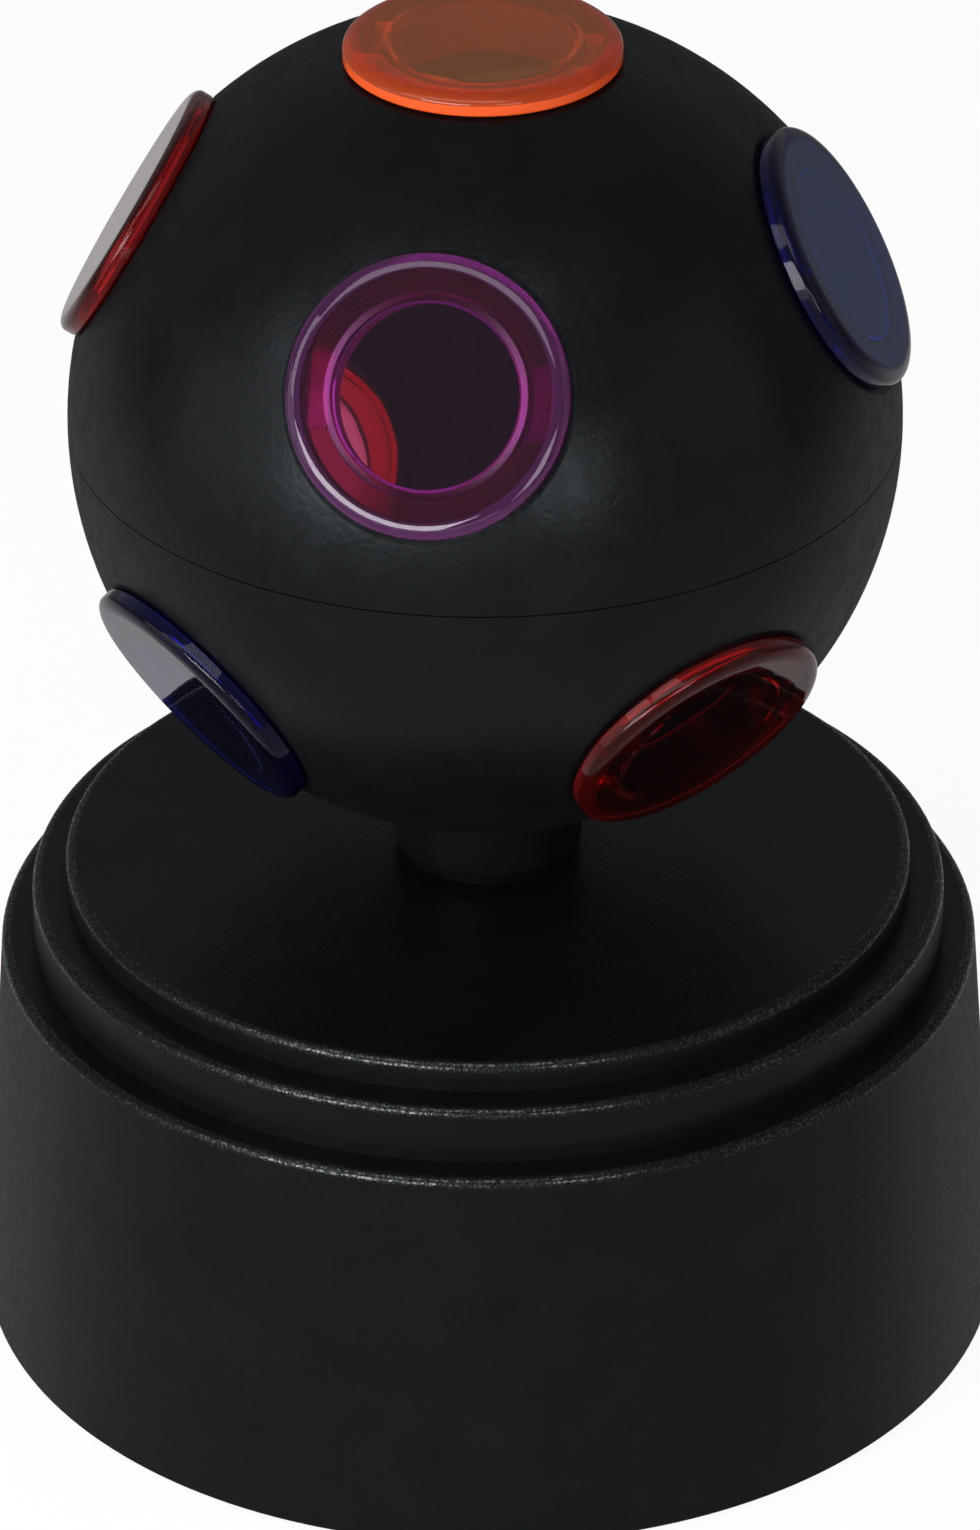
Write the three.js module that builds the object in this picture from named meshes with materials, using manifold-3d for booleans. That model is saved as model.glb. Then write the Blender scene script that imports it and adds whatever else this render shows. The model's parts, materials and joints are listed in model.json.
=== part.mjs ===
// Lamp with a turning ball: a black ball with nine coloured lenses turns on a stepped round
// base that holds the cells and the drive. Millimetres, +Z up. The origin lies under the
// middle of the base, on the surface that the feet stand on, and the front faces -Y.

import * as THREE from 'three';
import { mergeVertices } from 'three/addons/utils/BufferGeometryUtils.js';
import Module from 'manifold-3d';

const wasm = await Module();
wasm.setup();

// Gaps between pieces
const seatGap = 0.3; // between a piece and the neighbour that it sits on or in
const runGap = 0.3; // between a moving piece and what guides it
const overrun = 1; // how far a cutting body reaches past the face that it cuts

// Base housing, heights counted from its lower edge
const edgeClearance = 1;
const baseRadius = 57.4;
const wallHeight = 45;
const wallDraft = 3.1; // radius that the wall loses over its height
const lowerStepRise = 6.5;
const lowerShelf = 3.6; // width of the shelf round the lower step
const upperStepRise = 3.4;
const upperShelf = 3.8;
const baseWall = 2.4;
const edgeRound = 1.1;
const bossWall = 2.4;
const bossDrop = 6.5;

// Bottom plate, its screws and feet
const plateRecess = 0.4;
const plateThickness = 2.4;
const footRadius = 4.5;
const footInset = 8.6; // middle of a foot from the base's lower edge
const footAngles = [45, 135, 225, 315];
const plateScrewInset = 9.2;
const plateScrewAngles = [20, 160, 200, 340];
const plateScrewPostRadius = 3.2;
const plateScrewLength = 9;

// Cells, their bay and its door
const cellRadius = 7.1;
const cellLength = 49.2;
const nubRadius = 2.7;
const nubLength = 1;
const cellCount = 3;
const cellPlay = 0.6;
const bayWall = 1.5;
const bayOffset = 19.4; // middle of the bay in front of the ball's axis
const contactThickness = 0.5;
const contactHeight = 11;
const contactWidth = 10.4;
const springLength = 2.7;
const springRadius = 4;
const springWireRadius = 0.35;
const springTurns = 2;
const springTaperShare = 1 / 3;
const doorThickness = 1.6;
const doorLedge = 0.8;
const hingePinRadius = 0.5;
const hingePinReach = 1.4;
const tongueHalfWidth = 5;
const tongueThickness = 1.2;
const tongueReach = 10;
const doorScrewInset = 3.8; // from the tongue's free end
const doorScrewLength = 6.5;
const doorScrewPlay = 0.6; // round the screw, so that it swings out with the door
const doorBossHeight = 6;
const doorBossWall = 1.3;

// Screws
const screwRadius = 1;
const screwHeadRadius = 2.1;
const screwHeadHeight = 1;
const screwSlotWidth = 0.6;
const screwSlotDepth = 0.5;
const screwPointLength = 1;
const screwSink = 0.6; // depth of the recess that takes a head under the base

// Gear train
const drivePitchRadius = 18;
const driveTeeth = 36;
const idlerTeeth = 30;
const pinionTeeth = 10;
const gearWidth = 4;
const pressureAngle = rad(20);
const toothBacklash = 0.3;
const addendumShare = 0.8;
const dedendumShare = 1.25;
const gearLift = 5.6; // first gear pair above the frame
const stageRise = 6; // second gear pair above the first
const idlerAngle = rad(20); // from the ball's axis to the idler
const motorAngle = rad(105); // from the idler to the motor
const idlerPinRadius = 1.5;
const idlerHubRadius = 3;
const idlerPinCollar = 0.6;
const clipRadius = 3.2;
const clipThickness = 0.8;
const clipSlotWidth = 2;

// Frame that carries the train, the motor and the lamp stem
const frameThickness = 2.4;
const innerPostRing = 24.6; // two posts round the ball's axis
const leftPostAngle = rad(156);
const frontPostAngle = rad(256);
const outerPostInset = 15.8; // the third post from the base's lower edge
const outerPostAngle = rad(35);
const framePostRadius = 3;
const frameArmRadius = 4.6;
const frameHubRadius = 8.6;
const frameScrewLength = 8;
const wireway = 6; // free height over the battery bay

// Motor with its gear case
const motorRadius = 12.2;
const motorCanHeight = 12.3;
const gearCaseHeight = 9.4;
const motorBossRadius = 3.5;
const motorBossHeight = 1.5;
const motorBearingRadius = 3;
const motorBearingHeight = 1.2;
const motorShaftRadius = 1.25;
const motorShaftSink = 5;
const motorShaftStub = 0.5;
const motorScrewRing = 8.6;
const motorScrewLength = 6;
const pinionHubRadius = 2.8;
const pinionHubHeight = 3.2;

// Ball
const ballRadius = 45;
const ballWall = 2;
const ballGap = 8.1; // between the base's flat top and the ball
const seamGap = 0.3;
const lipWall = 1.4;
const lipGap = 0.6;
const lipReach = 2.2;
const lipRoot = 3;
const lipBite = 0.5; // how far the lip's root reaches into the lower shell
const floorRise = 1.5;

// Lenses and their seats in the ball
const lensSeatDepth = 2.7;
const lensSeatWall = 1.8;
const lensRadius = 14.8;
const lensThickness = 2.3;
const lensRound = 1;
const lensWindow = 1.6;
const collarRadius = 10.85;
const collarWall = 0.95;
const collarLength = 5.2;
const seatRadius = 13;
const barbReach = 0.5; // how far a barb goes behind the seat's edge
const barbWidth = 8;
const barbHeight = 0.9;
const lensRows = [
  {
    elevation: 90,
    lenses: [{ name: 'lens_top', azimuth: -9, colour: 'orange' }],
  },
  {
    elevation: 30,
    lenses: [
      { name: 'lens_upper_front', azimuth: -9, colour: 'purple' },
      { name: 'lens_upper_right', azimuth: 81, colour: 'blue' },
      { name: 'lens_upper_back', azimuth: 171, colour: 'blue' },
      { name: 'lens_upper_left', azimuth: 261, colour: 'red' },
    ],
  },
  {
    elevation: -30,
    lenses: [
      { name: 'lens_lower_front_right', azimuth: 36, colour: 'red' },
      { name: 'lens_lower_back_right', azimuth: 126, colour: 'blue' },
      { name: 'lens_lower_back_left', azimuth: 216, colour: 'red' },
      { name: 'lens_lower_front_left', azimuth: 306, colour: 'blue' },
    ],
  },
];

// Neck, bush and drive tube
const neckRadius = 10.45;
const bushFlangeThickness = 1;
const bushFlangeRadius = 9.8;
const bushWall = 1.6;
const tubeRadius = 6.7;
const tubeWall = 2.7;
const tubeFlangeRadius = 9;
const tubeFlangeThickness = 1.2;
const lockNutRadius = 10.4;
const lockNutHeight = 3;
const tubeStub = 0.8; // how far the tube shows past its nut

// Fixed lamp stem and the lights on it
const stemRadius = 3.4;
const stemWall = 1.2;
const stemFlangeRadius = 6.4;
const stemFlangeThickness = 1.6;
const stemNutRadius = 5.6;
const stemNutHeight = 2.4;
const stemStub = 0.5;
const lightRise = 7.4; // light board above the drive tube
const lightBoardRadius = 8;
const lightBoardThickness = 1.2;
const lightCount = 3;
const lightRingRadius = 4.5;
const lightRadius = 2.5;
const lightFlangeRadius = 2.9;
const lightFlangeHeight = 1;
const lightHeight = 8.1;

// Circuit board, switch and leads behind the rear wall
const boardHalfWidth = 17;
const boardHeight = 20;
const boardThickness = 1.6;
const boardZ = 12;
const railWidth = 4;
const railBite = 1.5; // how far the board's edge sits in its rail
const railDepth = 2;
const railFoot = 2; // rails reach this far below the board
const switchZ = 22;
const switchStandoff = 1.4; // switch body in front of the housing's inner wall
const switchWidth = 12.4;
const switchHeight = 5.6;
const switchDepth = 5.6;
const leverWidth = 2;
const leverHeight = 2;
const leverReach = 1.6;
const knobWidth = 4.4;
const knobHeight = 3.6;
const knobProud = 1;
const knobTravel = 4;
const ribCount = 3;
const ribWidth = 0.6;
const ribHeight = 0.3;
const leadRadius = 0.8;
const motorLeadAngle = rad(118);

// Number of flats round the round pieces, and steps along bent ones
const baseSides = 48;
const ballSides = 40;
const ballRings = 20;
const cavityRings = 12;
const lensSides = 24;
const tubeSides = 20;
const motorSides = 24;
const padSides = 16;
const smallSides = 10;
const leadSides = 6;
const leadSteps = 16;
const edgeSteps = 2;
const lensEdgeSteps = 1;
const springSteps = 12;
const wireSides = 6;
const nutSides = 6;
const domeSteps = 3;

// Radii of the base that follow from the sizes above
const wallTopRadius = baseRadius - wallDraft;
const lowerStepRadius = wallTopRadius - lowerShelf;
const plateauRadius = lowerStepRadius - upperShelf;
const footRing = baseRadius - footInset;
const plateScrewRing = baseRadius - plateScrewInset;

// Heights that follow from the sizes above
const plateauZ = edgeClearance + wallHeight + lowerStepRise + upperStepRise;
const roofZ = plateauZ - baseWall;
const plateZ = edgeClearance + plateRecess;
const plateTopZ = plateZ + plateThickness;
const plateHeadZ = plateZ + screwSink - seatGap;
const cellZ = plateZ + doorThickness + seatGap + cellRadius;
const bayRoofZ = cellZ + cellRadius + seatGap;
const bayTopZ = bayRoofZ + bayWall;
const frameZ = bayTopZ + wireway + stemNutHeight;
const frameTopZ = frameZ + frameThickness;
const firstGearZ = frameTopZ + gearLift;
const driveGearZ = firstGearZ + stageRise;
const tubeFootZ = driveGearZ - tubeFlangeThickness;
const bushZ = driveGearZ + gearWidth + runGap;
const neckZ = plateauZ + bushFlangeThickness + runGap;
const ballZ = plateauZ + ballGap + ballRadius;
const cavityRadius = ballRadius - ballWall;
const ballFloorZ = ballZ - cavityRadius + floorRise;
const lensSeatDistance = ballRadius - lensSeatDepth;
const tubeTopZ = ballFloorZ + seatGap + lockNutHeight + tubeStub;
const lightZ = tubeTopZ + lightRise;

// Plan places that follow from the sizes above
const cellPitch = 2 * cellRadius + cellPlay;
const bayHalfWidth = (cellCount * cellPitch + seatGap) / 2;
const cellSpace = cellLength + nubLength + springLength + 2 * seatGap;
const bayHalfLength = cellSpace / 2 + contactThickness + seatGap;
const doorHalfLength = bayHalfLength - doorLedge - runGap;
const hingeY = bayHalfWidth - bayOffset - doorLedge - runGap - doorThickness / 2;
const doorFrontY = doorLedge + runGap - bayHalfWidth - bayOffset;
const tongueFrontY = doorFrontY - tongueReach;
const doorScrewY = tongueFrontY + doorScrewInset;
const toothModule = 2 * drivePitchRadius / driveTeeth;
const idlerPlace = polar(drivePitchRadius + pitchRadiusOf(pinionTeeth), idlerAngle);
const motorPlace = polar(pitchRadiusOf(idlerTeeth + pinionTeeth), motorAngle).add(idlerPlace);
const framePosts = [
  polar(innerPostRing, leftPostAngle),
  polar(innerPostRing, frontPostAngle),
  polar(baseRadius - outerPostInset, outerPostAngle),
];
const bushRadius = tubeRadius + runGap + bushWall;
const tubeBore = tubeRadius - tubeWall;
const switchFrontY = wallRadius(switchZ) - baseWall - switchStandoff;
const boardFrontY = switchFrontY - switchDepth;
const knobOffset = -knobTravel / 2;
const bayEndX = bayHalfLength + bayWall;
const leadRingRadius = (bayEndX + plateScrewRing) / 2;
const motorReach = motorPlace.length() + motorRadius + leadRadius;

function rad(degrees) {
  return THREE.MathUtils.degToRad(degrees);
}

function polar(radius, angle) {
  return new THREE.Vector2(radius * Math.cos(angle), radius * Math.sin(angle));
}

function pitchRadiusOf(teeth) {
  return teeth * toothModule / 2;
}

// Outer radius of the conical wall at a height above the standing surface
function wallRadius(z) {
  return baseRadius - (baseRadius - wallTopRadius) * (z - edgeClearance) / wallHeight;
}

// Materials
function plastic(colour, roughness) {
  return new THREE.MeshStandardMaterial({ color: colour, roughness, metalness: 0 });
}

function metal(colour, roughness) {
  return new THREE.MeshStandardMaterial({ color: colour, roughness, metalness: 1 });
}

function tinted(colour) {
  return new THREE.MeshStandardMaterial({
    color: colour,
    roughness: 0.12,
    metalness: 0,
    transparent: true,
    opacity: 0.75,
  });
}

const blackShell = plastic(0x1c1f1f, 0.45);
const blackPlate = plastic(0x202222, 0.6);
const paleGear = plastic(0xe6e2d6, 0.4);
const whiteFrame = plastic(0xd2d2cc, 0.5);
const rubber = plastic(0x2a2a2a, 0.9);
const steel = metal(0xb4b6b8, 0.3);
const tin = metal(0xc8c8c4, 0.35);
const brass = metal(0xc29a4e, 0.3);
const cellJacket = plastic(0x4a6a8c, 0.35);
const boardGreen = plastic(0x2f6a46, 0.5);
const boardWhite = plastic(0xe8e8e4, 0.5);
const clearLight = tinted(0xf2f4f6);
const redLead = plastic(0xa02020, 0.5);
const blackLead = plastic(0x181818, 0.5);
const whiteLead = plastic(0xdadada, 0.5);
const lensMaterials = {
  orange: tinted(0xe85a18),
  purple: tinted(0x8a1c8a),
  blue: tinted(0x1c1c8c),
  red: tinted(0xa81420),
};

// Solids: closed bodies that can be joined and cut
function solid(shape) {
  if (!shape.isBufferGeometry) {
    return shape;
  }
  const bare = shape.clone();
  bare.deleteAttribute('normal');
  bare.deleteAttribute('uv');
  const merged = mergeVertices(bare);
  const corners = [];
  for (let i = 0; i < merged.index.count; i += 3) {
    const [a, b, c] = [0, 1, 2].map((step) => merged.index.getX(i + step));
    if (a !== b && b !== c && c !== a) {
      corners.push(a, b, c);
    }
  }
  const mesh = new wasm.Mesh({
    numProp: 3,
    vertProperties: Float32Array.from(merged.attributes.position.array),
    triVerts: Uint32Array.from(corners),
  });
  return new wasm.Manifold(mesh);
}

function join(first, ...others) {
  return others.reduce((sum, other) => sum.add(solid(other)), solid(first));
}

function cut(body, ...tools) {
  return tools.reduce((rest, tool) => rest.subtract(solid(tool)), solid(body));
}

function common(first, second) {
  return solid(first).intersect(solid(second));
}

function geometry(body) {
  const mesh = body.getMesh();
  const result = new THREE.BufferGeometry();
  result.setAttribute('position', new THREE.BufferAttribute(mesh.vertProperties, mesh.numProp));
  result.setIndex(new THREE.BufferAttribute(mesh.triVerts, 1));
  result.computeVertexNormals();
  return result;
}

// A named piece at its place
function piece(name, shape, material, x = 0, y = 0, z = 0) {
  const mesh = new THREE.Mesh(geometry(solid(shape)), material);
  mesh.name = name;
  mesh.position.set(x, y, z);
  return mesh;
}

// Round bar along Z between two heights
function bar(radius, bottom, top, sides = smallSides) {
  const shape = new THREE.CylinderGeometry(radius, radius, top - bottom, sides);
  shape.rotateX(Math.PI / 2);
  return shape.translate(0, 0, (bottom + top) / 2);
}

function block(low, high) {
  const size = [0, 1, 2].map((axis) => high[axis] - low[axis]);
  const middle = [0, 1, 2].map((axis) => (high[axis] + low[axis]) / 2);
  return new THREE.BoxGeometry(...size).translate(...middle);
}

// Body turned about Z from points of radius and height
function turned(points, sides = smallSides) {
  const profile = points.map(([radius, z]) => new THREE.Vector2(radius, z));
  return new THREE.LatheGeometry(profile, sides).rotateX(Math.PI / 2);
}

function ring(outer, inner, bottom, top, sides = smallSides) {
  const profile = [[inner, bottom], [outer, bottom], [outer, top], [inner, top]];
  return turned([...profile, profile[0]], sides);
}

// Six-sided nut with a round bore
function nut(cornerRadius, bore, bottom, top) {
  const body = bar(cornerRadius, bottom, top, nutSides);
  return cut(body, bar(bore, bottom - overrun, top + overrun, tubeSides));
}

// Plate from an outline in plan
function plate(outline, bottom, top, sides = smallSides) {
  const shape = new THREE.ExtrudeGeometry(outline, {
    depth: top - bottom,
    bevelEnabled: false,
    curveSegments: sides,
  });
  return shape.translate(0, 0, bottom);
}

// Points of a rounded corner from the wall that rises to the flat on top of it
function roundedCorner(radius, top, round, steps) {
  const points = [];
  for (let step = 0; step <= steps; step += 1) {
    const angle = (step / steps) * Math.PI / 2;
    const inward = round * (1 - Math.cos(angle));
    const drop = round * (1 - Math.sin(angle));
    points.push([radius - inward, top - drop]);
  }
  return points;
}

// Stepped drum from its lower edge up, drawn in by an inset on every side but the bottom
function drum(inset, round, bottom) {
  const wallTop = edgeClearance + wallHeight - inset;
  const stepTop = wallTop + lowerStepRise;
  const flatTop = stepTop + upperStepRise;
  const corners = [
    [wallTopRadius - inset, wallTop],
    [lowerStepRadius - inset, stepTop],
    [plateauRadius - inset, flatTop],
  ];
  const points = [[0, bottom], [wallRadius(bottom) - inset, bottom]];
  corners.forEach(([radius, top], index) => {
    if (index > 0) {
      points.push([radius, corners[index - 1][1]]);
    }
    const sharp = [[radius, top]];
    points.push(...(round > 0 ? roundedCorner(radius, top, round, edgeSteps) : sharp));
  });
  return turned([...points, [0, flatTop]], baseSides);
}

// Base housing
function baseHousing() {
  const shell = cut(drum(0, edgeRound, edgeClearance), drum(baseWall, 0, edgeClearance - overrun));
  const inside = [];
  for (const angle of plateScrewAngles) {
    const place = polar(plateScrewRing, rad(angle));
    inside.push(bar(plateScrewPostRadius, plateTopZ, plateauZ).translate(place.x, place.y, 0));
  }
  for (const post of framePosts) {
    inside.push(bar(framePostRadius, frameTopZ, plateauZ).translate(post.x, post.y, 0));
  }
  inside.push(bar(bushRadius + seatGap + bossWall, roofZ - bossDrop, plateauZ, tubeSides));
  for (const side of [-1, 1]) {
    inside.push(boardRail(side));
  }
  const core = drum(baseWall / 2, 0, edgeClearance);
  const bore = bar(bushRadius + seatGap, roofZ - bossDrop - overrun, plateauZ + overrun, tubeSides);
  const holes = [bore, switchSlot()];
  for (const angle of plateScrewAngles) {
    const place = polar(plateScrewRing, rad(angle));
    holes.push(screwHole(plateTopZ, plateScrewLength).translate(place.x, place.y, 0));
  }
  for (const post of framePosts) {
    holes.push(screwHole(frameTopZ, frameScrewLength).translate(post.x, post.y, 0));
  }
  const body = cut(join(shell, common(join(...inside), core)), ...holes);
  return piece('base_housing', body, blackShell);
}

function screwHole(bottom, depth) {
  return bar(screwRadius + seatGap, bottom - overrun, bottom + depth);
}

// Upright rail with a groove for one edge of the circuit board
function boardRail(side) {
  const innerX = side * (boardHalfWidth - railBite);
  const outerX = side * (boardHalfWidth - railBite + railWidth);
  const backY = boardFrontY - boardThickness - seatGap;
  const [lowX, highX] = [innerX, outerX].sort((a, b) => a - b);
  const grooveX = side * (boardHalfWidth + seatGap);
  const openX = side * (boardHalfWidth - railBite - overrun);
  const [grooveLow, grooveHigh] = [grooveX, openX].sort((a, b) => a - b);
  const rail = block([lowX, backY - railDepth, boardZ - railFoot],
    [highX, baseRadius, boardZ + boardHeight + railFoot]);
  const groove = block([grooveLow, backY, boardZ - seatGap],
    [grooveHigh, boardFrontY + seatGap, boardZ + boardHeight + seatGap]);
  return cut(rail, groove);
}

function switchSlot() {
  const halfWidth = (knobWidth + knobTravel) / 2 + runGap;
  const halfHeight = knobHeight / 2 + runGap;
  return block([-halfWidth, switchFrontY, switchZ - halfHeight],
    [halfWidth, baseRadius + overrun, switchZ + halfHeight]);
}

// Screw with its head's underside at zero and its shank upwards
function screw(length) {
  const body = turned([
    [0, -screwHeadHeight],
    [screwHeadRadius, -screwHeadHeight],
    [screwHeadRadius, 0],
    [screwRadius, 0],
    [screwRadius, length - screwPointLength],
    [0, length],
  ], smallSides);
  const half = screwSlotWidth / 2;
  const slotTop = screwSlotDepth - screwHeadHeight;
  const slotBottom = -screwHeadHeight - overrun;
  const reach = screwHeadRadius / 2;
  return cut(body,
    block([-reach, -half, slotBottom], [reach, half, slotTop]),
    block([-half, -reach, slotBottom], [half, reach, slotTop]));
}

// Bottom plate with the battery bay moulded on it
function bottomPlate() {
  const plateRadius = wallRadius(plateTopZ) - baseWall - seatGap;
  const disc = bar(plateRadius, plateZ, plateTopZ, baseSides);
  const outerX = bayHalfLength + bayWall;
  const outerY = bayHalfWidth + bayWall;
  const box = block([-outerX, -outerY - bayOffset, plateTopZ - plateThickness / 2],
    [outerX, outerY - bayOffset, bayTopZ]);
  const boss = bar(screwRadius + doorScrewPlay + doorBossWall, plateTopZ - plateThickness / 2,
    plateTopZ + doorBossHeight).translate(0, doorScrewY, 0);
  const bay = block([-bayHalfLength, -bayHalfWidth - bayOffset, plateTopZ],
    [bayHalfLength, bayHalfWidth - bayOffset, bayRoofZ]);
  const openX = doorHalfLength + runGap;
  const opening = block([-openX, doorFrontY - runGap, plateZ - overrun],
    [openX, hingeY + doorThickness / 2 + runGap, plateTopZ + overrun]);
  const tongueX = tongueHalfWidth + runGap;
  const tongueSeat = block([-tongueX, tongueFrontY - runGap, plateZ - overrun],
    [tongueX, doorFrontY, plateZ + tongueThickness + seatGap]);
  const screwTipZ = plateHeadZ + doorScrewLength;
  const screwWay = bar(screwRadius + doorScrewPlay, plateZ, screwTipZ + seatGap);
  const holes = [bay, opening, tongueSeat, screwWay.translate(0, doorScrewY, 0)];
  for (const side of [-1, 1]) {
    holes.push(hingeNotch(side), contactSlit(side));
  }
  for (const angle of plateScrewAngles) {
    const place = polar(plateScrewRing, rad(angle));
    const shaft = bar(screwRadius + seatGap, plateZ - overrun, plateTopZ + overrun);
    const recess = bar(screwHeadRadius + seatGap, plateZ - overrun, plateZ + screwSink);
    holes.push(shaft.translate(place.x, place.y, 0), recess.translate(place.x, place.y, 0));
  }
  return piece('bottom_plate', cut(join(disc, box, boss), ...holes), blackPlate);
}

// Notch in the plate's edge that takes a hinge pin of the door from below
function hingeNotch(side) {
  const nearX = doorHalfLength;
  const farX = doorHalfLength + hingePinReach + runGap;
  const [lowX, highX] = [side * nearX, side * farX].sort((a, b) => a - b);
  const half = hingePinRadius + runGap;
  return block([lowX, hingeY - half, plateZ - overrun],
    [highX, hingeY + half, plateZ + doorThickness / 2 + half]);
}

// Slit through the bay's end wall for the lead of a contact
function contactSlit(side) {
  const half = leadRadius + seatGap;
  const [lowX, highX] = [side * (bayHalfLength - overrun), side * (bayHalfLength + bayWall + overrun)]
    .sort((a, b) => a - b);
  const y = cellY((cellCount - 1) * (side + 1) / 2);
  return block([lowX, y - half, cellZ - half], [highX, y + half, cellZ + half]);
}

function plateScrews() {
  return plateScrewAngles.map((angle, index) => {
    const place = polar(plateScrewRing, rad(angle));
    const name = `plate_screw_${index + 1}`;
    return piece(name, screw(plateScrewLength), steel, place.x, place.y, plateHeadZ);
  });
}

function feet() {
  return footAngles.map((angle, index) => {
    const place = polar(footRing, rad(angle));
    const round = plateRecess;
    const pad = turned([
      [0, 0],
      [footRadius - round, 0],
      [footRadius, round],
      [footRadius, plateZ],
      [0, plateZ],
    ], padSides);
    return piece(`foot_${index + 1}`, pad, rubber, place.x, place.y, 0);
  });
}

// Battery door about its hinge line, closed, with the tongue towards the front
function batteryDoor() {
  const half = doorThickness / 2;
  const leaf = block([-doorHalfLength, doorFrontY - hingeY, -half], [doorHalfLength, 0, half]);
  const edge = bar(half, -doorHalfLength, doorHalfLength).rotateY(Math.PI / 2);
  const pinX = doorHalfLength + hingePinReach;
  const pins = bar(hingePinRadius, -pinX, pinX).rotateY(Math.PI / 2);
  const tongue = block([-tongueHalfWidth, tongueFrontY - hingeY, -half],
    [tongueHalfWidth, doorFrontY - hingeY + doorThickness, tongueThickness - half]);
  const screwY = doorScrewY - hingeY;
  const hole = bar(screwRadius + seatGap, -half - overrun, half + overrun).translate(0, screwY, 0);
  const recess = bar(screwHeadRadius + seatGap, -half - overrun, screwSink - half)
    .translate(0, screwY, 0);
  const body = cut(join(leaf, edge, pins, tongue), hole, recess);
  return piece('battery_door', body, blackPlate, 0, hingeY, plateZ + half);
}

function doorScrew() {
  return piece('battery_door_screw', screw(doorScrewLength), steel, 0, doorScrewY, plateHeadZ);
}

function cellY(index) {
  return (index - (cellCount - 1) / 2) * cellPitch - bayOffset;
}

// Cells lie side by side and point to and fro
function cells() {
  const body = turned([
    [0, 0],
    [cellRadius, 0],
    [cellRadius, cellLength],
    [nubRadius, cellLength],
    [nubRadius, cellLength + nubLength],
    [0, cellLength + nubLength],
  ], padSides);
  const group = new THREE.Group();
  for (let index = 0; index < cellCount; index += 1) {
    const way = index % 2 === 0 ? 1 : -1;
    const x = way * (springLength + seatGap - cellSpace / 2);
    const mesh = piece(`cell_${index + 1}`, body, cellJacket, x, cellY(index), cellZ);
    mesh.rotation.y = way * Math.PI / 2;
    group.add(mesh);
  }
  return group;
}

// Conical spring along +X that narrows towards its free end
class CoilCurve extends THREE.Curve {
  getPoint(share) {
    const angle = share * springTurns * 2 * Math.PI;
    const radius = springRadius * (1 - share * springTaperShare);
    const x = share * (springLength - springWireRadius);
    return new THREE.Vector3(x, radius * Math.cos(angle), radius * Math.sin(angle));
  }
}

function spring() {
  const wire = new THREE.Shape();
  wire.absarc(0, 0, springWireRadius, 0, 2 * Math.PI);
  return new THREE.ExtrudeGeometry(wire, {
    steps: springSteps,
    curveSegments: wireSides / 2,
    extrudePath: new CoilCurve(),
  });
}

// Contact on one end wall over the cells from first to last, with a spring on one of them
function contact(name, side, first, last, springCell) {
  const middleY = (cellY(first) + cellY(last)) / 2;
  const halfY = (cellY(last) - cellY(first) + contactWidth) / 2;
  const leaf = block([-contactThickness, -halfY, -contactHeight / 2], [0, halfY, contactHeight / 2]);
  const parts = [leaf];
  if (springCell >= 0) {
    const start = -springWireRadius / 2;
    parts.push(spring().translate(start, side * (middleY - cellY(springCell)), 0));
  }
  const mesh = piece(name, join(...parts), tin, side * cellSpace / 2, middleY, cellZ);
  mesh.rotation.z = side > 0 ? Math.PI : 0;
  return mesh;
}

function contacts() {
  return [
    contact('contact_left_single', -1, 0, 0, 0),
    contact('contact_left_link', -1, 1, 2, 2),
    contact('contact_right_link', 1, 0, 1, 1),
    contact('contact_right_single', 1, 2, 2, -1),
  ];
}

// Arm of the frame between two places in plan
function arm(from, to, radius) {
  const along = to.clone().sub(from).angle();
  const outline = new THREE.Shape();
  outline.absarc(to.x, to.y, radius, along - Math.PI / 2, along + Math.PI / 2);
  outline.absarc(from.x, from.y, radius, along + Math.PI / 2, along + 3 * Math.PI / 2);
  return plate(outline, frameZ, frameTopZ, smallSides / 2);
}

function motorScrewPlaces() {
  return [-1, 1].map((side) => polar(side * motorScrewRing, motorAngle).add(motorPlace));
}

function gearFrame() {
  const centre = new THREE.Vector2(0, 0);
  const [leftPost, frontPost, outerPost] = framePosts;
  const parts = [
    arm(centre, leftPost, frameArmRadius),
    arm(centre, frontPost, frameArmRadius),
    arm(centre, idlerPlace, frameArmRadius),
    arm(idlerPlace, motorPlace, frameArmRadius),
    arm(idlerPlace, outerPost, frameArmRadius),
    bar(frameHubRadius, frameZ, frameTopZ, tubeSides),
    bar(motorRadius, frameZ, frameTopZ, motorSides).translate(motorPlace.x, motorPlace.y, 0),
  ];
  const bottom = frameZ - overrun;
  const top = frameTopZ + overrun;
  const holes = [
    bar(stemRadius + seatGap, bottom, top, tubeSides),
    bar(idlerPinRadius + seatGap, bottom, top).translate(idlerPlace.x, idlerPlace.y, 0),
    bar(motorBossRadius + seatGap, bottom, top).translate(motorPlace.x, motorPlace.y, 0),
  ];
  for (const place of [...framePosts, ...motorScrewPlaces()]) {
    holes.push(bar(screwRadius + seatGap, bottom, top).translate(place.x, place.y, 0));
  }
  return piece('gear_frame', cut(join(...parts), ...holes), whiteFrame);
}

function frameScrews() {
  return framePosts.map((post, index) => {
    const name = `frame_screw_${index + 1}`;
    return piece(name, screw(frameScrewLength), steel, post.x, post.y, frameZ);
  });
}

function motorScrews() {
  return motorScrewPlaces().map((place, index) => {
    const name = `motor_screw_${index + 1}`;
    const mesh = piece(name, screw(motorScrewLength), steel, place.x, place.y, frameTopZ);
    mesh.rotation.x = Math.PI;
    return mesh;
  });
}

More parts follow.
